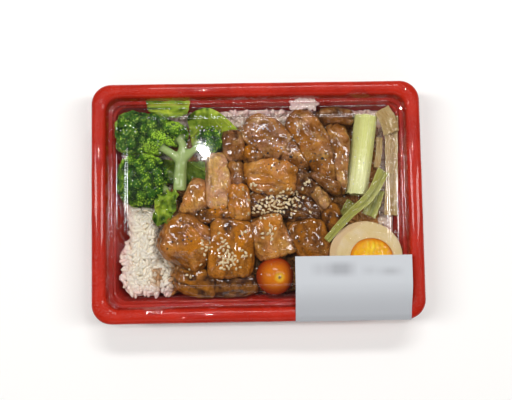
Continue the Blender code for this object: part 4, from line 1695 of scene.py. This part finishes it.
            # buds high on their clump get painted light, low ones painted shade
            high = soft_step(dome[number], 0.3, 1)
            glow = light[number] * (0.8 + 0.35 * high) + picker.choice((-0.4, -0.3, -0.1, 0, 0.15, 0.45, 0.8))
            deep = (0.9 * (1 - high) + picker.choice((0, 0, 0.25))) * (1 - 0.8 * light[number])
            tints.append((glow, 0, deep))
        buds = joined_copies(piece.name.replace("sprig", "buds"), bud_form(self.bud_size), places, tints)
        hand_over(buds, self.finish, "broccoli")

    def build(self) -> None:
        """Model both sprigs."""
        self.finish = BroccoliGreen().material()
        self.build_sprig("broccoli_front", 3)
        self.build_sprig("broccoli_back", 8)


@dataclass
class Egg:
    """Half a soy-steeped egg: a hollowed white with a browner skin, and a soft yolk."""

    centre: Place = (75.3, -38.8, 35)
    size: Place = (52.5, 47.5, 21)
    yolk_centre: Place = (79.2, -40.5, 35)
    yolk_size: Place = (31, 27, 12)
    tilt: Pair = (-7, 7)
    gap: float = 0.12

    def half(self, name: str, centre: Place, size: Place, gap: float = 0) -> Piece:
        """The lower half of an egg form with a gap round it, cut flat, tilted and set in its place.

        Args:
            name: the piece's name.
            centre: the middle of its flat face.
            size: its length, width and depth.
            gap: how much larger it is all round.

        Returns:
            The half.
        """
        ball = bpy.ops.mesh.primitive_uv_sphere_add
        piece = primitive(name, ball, segments=96, ring_count=48, radius=1)
        with editing(piece):
            bpy.ops.transform.resize(value=tuple((np.array(size) * (0.5, 0.5, 1) + gap) * MM))
            bpy.ops.mesh.bisect(plane_co=(0, 0, 0), plane_no=(0, 0, 1), clear_outer=True, use_fill=True)
        remeshed(piece, 0.55, 3)
        about_x, about_y = (math.radians(angle) for angle in self.tilt)
        turn = Matrix.Rotation(about_x, 3, "X") @ Matrix.Rotation(about_y, 3, "Y")
        aside = turn @ (Vector(centre) - Vector(self.centre))
        points = points_of(piece)
        self.flat = points.copy()
        set_points(piece, points @ np.array(turn).T + np.array(self.centre) + np.array(aside))
        return piece

    def build_white(self) -> None:
        """Model the white and hollow it for the yolk."""
        white = self.half("egg_white_half", self.centre, self.size)
        cutter = self.half("yolk_hollow", self.yolk_centre, self.yolk_size, self.gap)
        cutter.data.transform(Matrix.Translation((0, 0, 0.6 * MM)))
        apply_modifier(white, "BOOLEAN", operation="DIFFERENCE", object=cutter, solver="EXACT")
        bpy.data.objects.remove(cutter, do_unlink=True)
        points, normals = points_of(white), normals_of(white)
        away = away_from(points, self.yolk_centre, np.array(self.yolk_size[:2]) / 2)
        edge = away_from(points, self.centre, np.array(self.size[:2]) / 2)
        left = soft_step(points[:, 0], self.centre[0] + 4, self.centre[0] - 12)
        band = soft_step(edge + 0.16 * left + 0.03 * ripple(points / 6, 44), 0.93, 1)
        skin = np.maximum(soft_step(normals[:, 2], 0.6, 0.2) * (away > 1.1), 0.75 * band)
        lift = 0.22 * ripple(points / 9, 41) * (normals[:, 2] > 0.5)
        set_points(white, points + normals * lift[:, None])
        paint(white, "tint", skin * 0.85, 0.55 * soft_step(away, 1.25, 1))
        hand_over(white, SoakedEgg().material(), "egg_white", "egg_white", crease=70)

    def build_yolk(self) -> None:
        """Model the yolk with its soft folds."""
        yolk = self.half("egg_yolk_half", self.yolk_centre, self.yolk_size)
        points, normals = points_of(yolk), normals_of(yolk)
        inner = soft_step(away_from(self.flat, (0, 0), np.array(self.yolk_size[:2]) / 2), 0.98, 0.7)
        face = soft_step(normals[:, 2], 0.5, 0.9) * inner
        folds = ripple(self.flat / (3.4, 9, 9), 17)
        lift = face * (0.35 + 1.2 * folds + 0.4 * ripple(points / 2.2, 18))
        set_points(yolk, points + normals * lift[:, None])
        ragged = np.clip(1 - 1.6 * inner + 0.5 * ripple(points / 3, 19), 0, 1)
        # green: cream on the raised fold crests, partly the yolk's own tone and partly painted light
        paint(yolk, "tint", 0.9 * ragged * (normals[:, 2] > 0), soft_step(folds, -0.15, 0.35) * inner)
        hand_over(yolk, JammyYolk().material(), "egg_yolk", "egg_yolk")

    def build(self) -> None:
        """Model the white and the yolk."""
        self.build_white()
        self.build_yolk()


@dataclass
class Tomato:
    """A small tomato with a shallow dimple, a dry scar and a yellow ring round it."""

    scar: Pair = (14.3, -53.2)
    ring_reach: float = 4.6
    scar_reach: float = 1.5

    def build(self) -> None:
        """Model the tomato and dress it."""
        low, high = box_of("tomato")
        middle, half = (low + high) / 2, (high - low) / 2
        ball = bpy.ops.mesh.primitive_uv_sphere_add
        piece = primitive("tomato_whole", ball, segments=96, ring_count=64, radius=1)
        with editing(piece):
            bpy.ops.transform.resize(value=half * MM)
            bpy.ops.transform.translate(value=middle * MM)
        points = points_of(piece)
        away = away_from(points, self.scar) + 0.35 * ripple(points / 1.4, 6)
        above = points[:, 2] > middle.z
        points[:, 2] -= above * (0.7 * soft_step(away, 5, 1) - 0.35 * soft_step(away, self.scar_reach, 0.4))
        points += 0.15 * normals_of(piece) * ripple(points / 11, 8)[:, None]
        set_points(piece, points)
        out = away_from(points, middle) / half.x
        # painted shade: deeper red further from the middle, as seen from above
        sides = soft_step(out + 0.12 * ripple(points / 7, 9), 0.35, 1)
        ring = above * soft_step(away, self.ring_reach, 1.9) * 0.85
        dry = above * soft_step(away, self.scar_reach, 0.7)
        paint(piece, "tint", sides, ring, dry)
        hand_over(piece, TomatoSkin().material(), "tomato", "tomato")


@dataclass(frozen=True)
class Strip:
    """A leaf strip: its node, route, width, how far its edges cup up, and how it narrows."""

    node: str
    route: tuple[Place, ...]
    width: float
    cup: float
    narrowing: float = 0.0
    ruffle: float = 0.5
    rows: int = 90
    columns: int = 24

    def length(self) -> float:
        """How long its route is, stop to stop."""
        return sum(math.dist(first, second) for first, second in zip(self.route, self.route[1:]))

    def sheet(self, name: str) -> Piece:
        """Model the strip as a ribbed sheet with an uneven edge.

        Args:
            name: the piece's name.

        Returns:
            The open sheet.
        """
        piece = grid_piece(name, self.columns, self.rows)
        flat = points_of(piece) * MM
        share, step = flat[:, 1] + 0.5, 2 * flat[:, 0]
        torn = 1.2 * self.width / self.length() * ripple(rows(step * 1.6, 0, 0), 8)
        share = share + 0.12 * torn * (2 * share - 1)
        centre = curve_through(self.route, share)
        ahead = curve_through(self.route, share + 0.01) - curve_through(self.route, share - 0.01)
        side = rows(ahead[:, 1], -ahead[:, 0], 0)
        side /= np.linalg.norm(side, axis=1)[:, None]
        uneven = 1 + 0.16 * ripple(rows(share * 6, np.sign(step), 0), 3)
        half = self.width / 2 * (1 - self.narrowing * share) * uneven
        points = centre + side * (step * half)[:, None]
        folds = ripple(rows(step * 1.7, share * self.length() / 14, 0), 14) + 0.6 * ripple(points / 2.5, 13)
        points[:, 2] += self.cup * step**2 + self.ruffle * folds + 0.12 * np.cos(step * 15)
        set_points(piece, points)
        light = soft_step(np.abs(step), 0.75, 1) * 0.5 + 0.2 * ripple(points / 9, 2)
        # green: painted shade down the middle of a strip whose edges cup up
        paint(piece, "tint", light, 0.5 * soft_step(np.abs(step + 0.2), 0.5, 0.1) * self.cup)
        return piece


@dataclass
class Leek:
    """A white length of leek, its loose outer skins and its green leaf strips."""

    ends: tuple[Place, Place] = ((79.2, 60, 25.8), (70.6, 4, 25.8))
    radii: Pair = (8.3, 8)
    ribs: int = 34
    sides: int = 160
    rings: int = 60
    layers: tuple[Pair, ...] = (
        (0.86, 0), (0.83, -0.7), (0.74, -0.5), (0.71, 0.1), (0.62, -0.2), (0.59, -0.9), (0.5, -0.7), (0.47, -0.1),
        (0.38, -0.3), (0.35, -1), (0.2, -0.8), (0.05, -0.6),
    )  # fmt: skip
    white = LeafFinish("leek_white", (0.72, 0.73, 0.23), (0.85, 0.84, 0.44), (0.52, 0.54, 0.12), 60, 0.6, 0.3)
    skin = LeafFinish("leek_skin", (0.4, 0.245, 0.08), (0.64, 0.5, 0.26), (0.2, 0.1, 0.025), 24, 1, 0.6)
    leaf = LeafFinish("leek_leaf", (0.33, 0.31, 0.045), (0.58, 0.58, 0.2), (0.13, 0.14, 0.02), 26, 1, 0.5)
    skins: tuple[Strip, ...] = (
        Strip("leek_skin_long", ((97, 60, 28.5), (96.5, 43, 28), (96.2, 20, 27), (94.8, -11.5, 26)), 9, 1),
        Strip("leek_skin_wrap", ((89, 64, 33.6), (93.5, 56.5, 33.4), (96.5, 47, 31.5)), 12, -1.5),
        Strip("leek_skin_side", ((88.6, 45, 25), (87.6, 33, 26), (86, 23, 26)), 4.5, 0.6),
    )
    leaves: tuple[Strip, ...] = (
        Strip(
            "leek_leaf_long", ((89.5, 20.5, 32), (79.2, 3, 36.2), (61, -13.5, 37.5), (47.5, -28.5, 36.5)),
            8.5, 1, 0.5,
        ),
        Strip("leek_leaf_short", ((86, 7.5, 27), (82, -4, 28), (78.5, -11.5, 29)), 10, 1.2),
        Strip("leek_leaf_dark", ((68, -0.5, 22), (64.5, -6, 22.5), (62.5, -11, 21)), 7, 0.8),
    )  # fmt: skip

    def build_stalk(self) -> None:
        """Model the stalk: ribbed along its length, with its layers open at both ends."""
        first, last = (np.array(end) for end in self.ends)
        length = float(np.linalg.norm(last - first))
        stops = [(share, -depth) for share, depth in reversed(self.layers)]
        stops += [(1, length * ring / self.rings) for ring in range(self.rings + 1)]
        stops += [(share, length + depth) for share, depth in self.layers]
        disc, first_radius = bpy.ops.mesh.primitive_circle_add, self.radii[0]
        size = stops[0][0] * first_radius * MM
        piece = primitive("leek_stalk_white", disc, vertices=self.sides, radius=size, fill_type="NGON")
        with editing(piece):
            for now, stop in zip(stops, stops[1:]):
                bpy.ops.mesh.extrude_region_move(TRANSFORM_OT_translate={"value": (0, 0, (stop[1] - now[1]) * MM)})
                bpy.ops.transform.resize(value=(stop[0] / now[0], stop[0] / now[0], 1))
            bpy.ops.mesh.select_all(action="SELECT")
            bpy.ops.mesh.normals_make_consistent(inside=False)
        x, y, z = points_of(piece).T
        z -= z.min()
        share, angle = np.clip(z / length, 0, 1), np.arctan2(y, x)
        circle = rows(2.5 * np.cos(angle), 2.5 * np.sin(angle), share * 1.6)
        radius = np.hypot(x, y) / (first_radius + 1e-9)
        size = first_radius + (self.radii[1] - first_radius) * share
        rib = 0.07 * np.cos(self.ribs * angle + 2 * ripple(circle, 4)) + 0.35 * ripple(circle, 5)
        reach = radius * (size + rib * (radius > 0.9)) * (1 - 0.02 * np.cos(2 * angle))
        wavy = ripple(circle * (1, 1, 0), 6) * (np.abs(share - 0.5) > 0.49)
        local = rows(reach * np.cos(angle), reach * np.sin(angle), z + wavy)
        turn = np.array(Vector(last - first).to_track_quat("Z", "Y").to_matrix())
        set_points(piece, local @ turn.T + first)
        lines = 0.7 * ripple(circle * (4, 4, 0.4), 7) + 0.8 * soft_step(share, 0.3, 1)
        dark = 0.55 * soft_step(radius, 0.9, 0.5) + 0.25 * soft_step(np.abs(share - 0.5), 0.2, 0.5)
        paint(piece, "tint", lines, dark)
        hand_over(piece, self.white.material(), "leek_stalk", "leek_stalk", crease=50)

    def build(self) -> None:
        """Model the stalk, the skins and the leaves."""
        self.build_stalk()
        for finish, strips in ((self.skin, self.skins), (self.leaf, self.leaves)):
            material = finish.material()
            for strip in strips:
                piece = strip.sheet(strip.node + "_strip")
                thickened(piece, 0.8)
                hand_over(piece, material, finish.name, strip.node)


@dataclass(frozen=True)
class LettuceLeaf:
    """A lettuce leaf between a back and a front edge, each given by its two ends and its middle.

    Its rise is the height at each share of the width and depth. Its ruffles curl the edges, are wave apart
    each way, and reach into the middle by fill. The veins meet at crest; light sets its tone, shade paints
    light on one side of the crest, and dim darkens it, which on the leaf under the broccoli is painted shade.
    The pleats get painted light on their crests and painted shade in their valleys. The lid holds it down:
    under_lid is how far in from the tray's side the lid is how high.
    """

    node: str
    back: tuple[Pair, ...]
    front: tuple[Pair, ...]
    rise: Callable[[Array, Array], Array]
    ruffle: float
    light: float
    wave: Pair = (3.4, 3.4)
    crest: Pair = (0.5, 1.1)
    shade: float = 0.0
    fill: float = 0.0
    dim: float = 0.0
    cells: int = 64
    tray_half: Pair = (116, 84)
    under_lid: tuple[tuple[float, ...], ...] = ((13.4, 15.2, 16.6, 19), (29.6, 35.8, 39, 40.6))

    def edge(self, stops: tuple[Pair, ...], share: Array) -> Array:
        """Points along an edge that bends through its middle."""
        start, middle, end = (np.array(stop) for stop in stops)
        return bend(start, 2 * middle - (start + end) / 2, end, share[:, None])

    def build(self, finish: Material) -> None:
        """Model the leaf with its veins and curled edge.

        Args:
            finish: its material.
        """
        piece = grid_piece(self.node + "_leaf", self.cells, self.cells)
        flat = points_of(piece) * MM + 0.5
        u, v = flat[:, 0], flat[:, 1]
        spot = self.edge(self.front, u) * (1 - v)[:, None] + self.edge(self.back, u) * v[:, None]
        points = np.column_stack([spot, self.rise(u, v)])
        rim = np.maximum(np.abs(u - 0.5), np.abs(v - 0.5)) * 2
        curl = np.maximum(soft_step(rim, 0.5, 1), self.fill)
        pleats = ripple(points / (*self.wave, 60), 33)
        aside = 0.7 * ripple(points / 4, 31), 0.9 * ripple(points / 4, 32)
        points += self.ruffle * curl[:, None] * rows(*aside, 1.9 * pleats)
        spread = np.arctan2(u - self.crest[0], self.crest[1] - v)
        veins = np.abs(np.sin(5 * spread + 0.7 * ripple(points / 9, 3)))
        rib = soft_step(veins, 0.28, 0) * soft_step(np.hypot(u - self.crest[0], v - self.crest[1]), 0, 0.25)
        points[:, 2] += 0.7 * rib + 0.45 * ripple(points / 2.6, 34)
        inset = (self.tray_half - np.abs(points[:, :2])).min(axis=1)
        points[:, 2] = np.minimum(points[:, 2], np.interp(inset, *self.under_lid))
        set_points(piece, points)
        # painted shade in the pleats' valleys
        low = soft_step(-pleats, 0, 0.45) * curl
        light = self.light + 0.5 * rib + 1.6 * curl * np.clip(pleats, 0, 1) + 0.25 * ripple(points / 6, 9)
        side = self.shade * soft_step(u, self.crest[0] - 0.05, self.crest[0] + 0.05)
        # red: paler veins, plus painted light on the pleats' crests and on one side of the crest; green: painted
        # shade in the valleys, darker towards the front edge and by dim
        paint(piece, "tint", light + side, 0.5 * soft_step(v, 0.35, 0) + 0.9 * low + self.dim)
        thickened(piece, 0.6)
        hand_over(piece, finish, "lettuce", self.node)


@dataclass
class Lettuce:
    """The lettuce: a folded leaf at the back, a scrap on the ledge, a frill and a leaf under the broccoli, dimmed
    there as painted shade.
    """

    leaves: tuple[LettuceLeaf, ...] = (
        LettuceLeaf(
            "lettuce_folded",
            ((-50, 62.5), (-31, 65.5), (-11, 50.5)),
            ((-46, 37.5), (-34, 35), (-23.5, 38.5)),
            lambda u, v: 19.6 + soft_step(v, 0.4, 1) * (3 + 13 * (1 - soft_step(np.abs(u - 0.46), 0, 0.5))),
            0.35, 0.1, crest=(0.46, 0.98), shade=0.3, dim=0.14,
        ),
        LettuceLeaf(
            "lettuce_ledge",
            ((-78.5, 72.9), (-62, 73.1), (-47, 72.9)),
            ((-75.5, 64), (-61, 59.5), (-48, 61.5)),
            lambda u, v: 35 - 5.6 * soft_step(v, 0.1, 0.72) + 0.8 * np.sin(9 * u) * (1 - soft_step(v, 0.2, 0.7)),
            0.9, 0.1, (9, 2.4), fill=0.8, dim=0.22,
        ),
        LettuceLeaf(
            "lettuce_frill",
            ((-70, 5), (-62, 8.5), (-54.5, 6)),
            ((-74, -11), (-66.5, -16), (-60, -10)),
            lambda u, v: 31.5 + 1.8 * np.sin(7.5 * v + 2) * (0.4 + u) + 1.5 * np.cos(6 * u),
            2.6, -0.1, (3.3, 3.8), fill=0.8, dim=0.12,
        ),
        LettuceLeaf(
            "lettuce_bed",
            ((-74, 33), (-52, 30.5), (-37, 30)),
            ((-70, 15), (-50, 14), (-37, 17)),
            lambda u, v: 20.5 + 1.2 * np.sin(5 * u + 4 * v),
            # dim: painted shade under the broccoli
            0.5, 0, dim=0.6,
        ),
    )  # fmt: skip

    def build(self) -> None:
        """Model every leaf."""
        tones = (0.2, 0.32, 0.02), (0.56, 0.68, 0.06), (0.03, 0.075, 0.005)
        finish = LeafFinish("lettuce_green", *tones, lines=14, lined=0.4).material()
        for leaf in self.leaves:
            leaf.build(finish)


@dataclass(frozen=True)
class Sprinkle:
    """A cluster of seeds or flakes: its middle, its spread each way, its count and how large they are."""

    x: float
    y: float
    spread_x: float
    spread_y: float
    count: int
    size: float = 1.0

    def fall(self, picker: random.Random) -> Pair:
        """Where one of them falls."""
        return self.x + picker.gauss(0, 0.6) * self.spread_x, self.y + picker.gauss(0, 0.6) * self.spread_y


def clusters(*places: tuple[float, ...]) -> tuple[Sprinkle, ...]:
    """Clusters from their rows: the middle, the spread each way and the count."""
    return tuple(Sprinkle(*place) for place in places)


@dataclass
class Seasoning:
    """Toasted sesame and cracked black pepper, lying on the chicken where they fell."""

    coat = SeedCoat("toasted_sesame", (0.5, 0.32, 0.12), (0.86, 0.71, 0.44))
    husk = SeedCoat("black_pepper", (0.012, 0.011, 0.012), (0.07, 0.055, 0.04), 0.4)
    seed_length: float = 2.9
    seed_width: float = 1.8
    seed_height: float = 0.84
    flake_radius: float = 0.62
    sesame: tuple[Sprinkle, ...] = clusters(
        (-20.5, -41, 4.2, 4.4, 30), (-24, -31, 3.2, 6, 9), (-36.5, -31, 2.6, 5, 8),
        (-8.5, -37, 2.6, 3.4, 5), (-9.7, -23, 1.5, 2, 2), (14.5, -3, 11.5, 5.6, 50),
        (2, -7, 5, 4.5, 12), (9, -22, 6, 5, 9), (24, 4.5, 6, 3.5, 12),
        (-4, 8, 5.5, 3.5, 8), (-50, -52, 6, 5, 4), (33, 12, 5, 4, 4),
    )  # fmt: skip
    pepper: tuple[Sprinkle, ...] = clusters(
        (20, 28, 12, 5, 18), (38, 27.5, 9, 4, 9), (64, 31, 3, 3, 2),
        (12.5, 23, 4, 4, 5), (-47.5, -26.5, 2, 2.6, 3), (-50, -15, 6, 4, 6),
        (-60, -28, 2, 3, 2), (-28, 0, 5, 8, 8), (-33, -35, 5, 5, 5),
        (31, 14, 4, 5, 7), (28, -29, 7, 5, 5), (0, 40, 12, 7, 7),
    )  # fmt: skip
    large_flakes: tuple[Place, ...] = (
        (7.9, 33.6, 2), (23.8, 30.6, 2), (37.8, 27, 2), (46.2, 29, 2), (65.3, 31.6, 2),
        (30.7, 14, 2), (-59.5, -27.7, 1.5), (-33.3, -35, 1.5), (-50.5, -14, 1.5), (-22.1, -19.3, 1.5),
        (-51.9, -26.5, 1.5), (-12.5, -24.4, 1.5),
    )  # fmt: skip

    def seed_form(self) -> Form:
        """One flat teardrop seed."""
        points, faces = oval_form(10, self.seed_length, self.seed_width, self.seed_height)
        points[:, 1] *= 1 - 0.42 * np.clip(points[:, 0] / (self.seed_length / 2), -0.2, 1)
        return points, faces

    def flake_form(self) -> Form:
        """One angular flake of cracked pepper."""
        points, faces = bud_form(self.flake_radius)
        points += 0.28 * rows(*(ripple(points * 1.7, seed) for seed in (1, 2, 3)))
        return points * (1, 0.8, 0.62), faces

    def scatter(self, name: str, ground: Ground, patches: Sequence[Sprinkle], form: Form, seed: int) -> Piece:
        """Drop a form in its clusters, clear of one another.

        Args:
            name: the piece's name.
            ground: the surfaces that it falls on.
            patches: the clusters.
            form: the small form.
            seed: picks the places.

        Returns:
            All the fallen forms as one piece.
        """
        picker = random.Random(seed)
        places, tints, taken = [], [], []
        gap, sizes = (1.75, (0.86, 1.1)) if name == "sesame_seeds" else (0.9, (0.45, 1.3))
        for cluster in patches:
            landed = tries = 0
            while landed < cluster.count and tries < 40 * cluster.count:
                tries += 1
                x, y = cluster.fall(picker)
                hit = ground.drop(x, y)
                if hit is None or hit[1].z < 0.35 or any(math.hypot(x - a, y - b) < gap for a, b in taken):
                    continue
                taken.append((x, y))
                landed += 1
                size = cluster.size * picker.uniform(*sizes)
                size = max(size, 0.8 * cluster.size if cluster.size > 1 else size)
                lean = picker.uniform(-0.15, 0.2)
                lay = lying_on(hit[1], picker.uniform(0, 6.28), lean)
                spot = hit[0] + picker.uniform(0.05, 0.3) * hit[1]
                places.append(Matrix.Translation(spot) @ lay @ Matrix.Scale(size, 4))
                tints.append(picker.random())
        return joined_copies(name, form, places, tints)

    def build(self, chicken: Sequence[Piece]) -> None:
        """Scatter both on the finished chicken.

        Args:
            chicken: the cuts.
        """
        ground = Ground(chicken)
        seeds = self.scatter("sesame_seeds", ground, self.sesame, self.seed_form(), 12)
        hand_over(seeds, self.coat.material(), "chicken")
        large = tuple(Sprinkle(x, y, 0.2, 0.2, 1, size) for x, y, size in self.large_flakes)
        flakes = self.scatter("pepper_flakes", ground, self.pepper + large, self.flake_form(), 4)
        hand_over(flakes, self.husk.material(), "chicken")


@dataclass
class Mist:
    """Steam that has settled as small drops on the underside of the lid's panel."""

    underside: float = 41.95
    radius: float = 0.34
    panel: Pair = (86, 54)
    patches: tuple[Sprinkle, ...] = clusters(
        (0, 50, 34, 9, 90), (28, 38, 30, 14, 110), (-42, 48, 14, 10, 60),
        (60, 20, 18, 26, 70), (-20, 5, 22, 18, 35), (84, 56, 6, 5, 22),
        (0, 0, 90, 60, 80),
    )  # fmt: skip

    def build(self) -> None:
        """Hang the drops."""
        picker = random.Random(9)
        places, tints = [], []
        for patch in self.patches:
            for _ in range(patch.count):
                x, y = patch.fall(picker)
                size = picker.choice((0.6, 0.7, 0.85, 1, 1.35))
                if abs(x) < self.panel[0] and abs(y) < self.panel[1]:
                    stretch = Matrix.Diagonal((size * picker.uniform(0.8, 1.3), size, 0.7 * size, 1))
                    places.append(Matrix.Translation((x, y, self.underside)) @ stretch)
                    tints.append(picker.random())
        drops = joined_copies("lid_drops", bud_form(self.radius, 2), places, tints)
        hand_over(drops, PaintedGlintDrop().material(), "lid")


# ---- the studio


@dataclass
class Studio:
    """A pale floor, soft lights, one small lamp that glints in the lid, and the camera above."""

    camera_at: Place = (-5.6, -29.5, 487.9)
    camera_turn: Place = (3.81, -0.52, -0.97)
    lens: float = 45.7
    floor_size: float = 6000.0
    glow: Colour = (0.83, 0.83, 0.83)
    gloom: Colour = (0.05, 0.05, 0.05)
    warm: Colour = (1, 0.985, 0.96)
    lamp: tuple[str, Place, Pair, float] = ("lamp", (-174.5, 314, 2040), (22, 42), 4)
    lights: tuple[tuple[str, Place, Pair, float], ...] = (
        ("spot_right", (640, 620, 1900), (16, 24), 0.85),
        ("spot_left", (-700, 480, 1900), (24, 16), 0.75),
        ("spot_front", (-260, -760, 1900), (24, 16), 0.65),
        ("panel_back", (100, 1050, 1500), (900, 200), 11.8),
        ("panel_left", (-1050, 150, 1500), (200, 900), 13.2),
        ("panel_right", (1000, 100, 1500), (200, 900), 10.8),
        ("softbox_back", (-200, 1700, 1300), (1500, 700), 1),
        ("softbox_front", (0, -1500, 1300), (1500, 700), 3.8),
    )

    def build_floor(self) -> None:
        """Lay the floor under the tray's foot."""
        sheet = bpy.ops.mesh.primitive_grid_add
        floor = primitive("studio_floor", sheet, x_subdivisions=4, y_subdivisions=4, size=self.floor_size * MM)
        floor.data.materials.append(PaleFloor().material())

    def build_light(self, name: str, place: Place, size: Pair, watts: float, tint: Colour) -> None:
        """Hang an area light that looks at the tray.

        Args:
            name: the light's name.
            place: where it hangs, in millimetres.
            size: its width and height, in millimetres.
            watts: its power.
            tint: its colour.
        """
        data = bpy.data.lights.new(name, "AREA")
        data.shape = "RECTANGLE"
        data.size, data.size_y = (side * MM for side in size)
        data.energy = watts
        data.color = tint
        light = linked(name, data)
        light.location = Vector(place) * MM
        light.rotation_euler = (-light.location).to_track_quat("-Z", "Y").to_euler()

    def build_camera(self) -> None:
        """Set the camera almost straight above the tray."""
        data = bpy.data.cameras.new("camera")
        data.lens = self.lens
        data.sensor_width = 36
        camera = linked("camera", data)
        camera.location = Vector(self.camera_at) * MM
        camera.rotation_euler = Euler([math.radians(angle) for angle in self.camera_turn])
        bpy.context.scene.camera = camera

    def build(self) -> None:
        """Set the whole studio up."""
        world = bpy.data.worlds.new("studio")
        world.use_nodes = True
        tree = Tree(world.node_tree)
        backdrop = world.node_tree.nodes["Background"]
        backdrop.inputs["Strength"].default_value = 1
        seen = tree.add("LightPath").outputs["Is Camera Ray"]
        tone = tree.blend(seen, self.gloom, self.glow)
        world.node_tree.links.new(tone, backdrop.inputs["Color"])
        bpy.context.scene.world = world
        bpy.context.scene.view_settings.view_transform = "Standard"
        self.build_floor()
        self.build_light(*self.lamp, (1, 1, 1))
        for light in self.lights:
            self.build_light(*light, self.warm)
        self.build_camera()


def main() -> None:
    """Build every piece, dress it and tie it to the frame."""
    logging.basicConfig(level=logging.INFO, format="%(name)s %(message)s")
    for part in (Tray(), Lid(), Mist(), Label()):
        part.build()
    chicken = Chicken().build()
    for part in (Rice(), Broccoli(), Egg(), Tomato(), Leek(), Lettuce()):
        part.build()
    Seasoning().build(chicken)
    Studio().build()


if __name__ == "__main__":
    main()
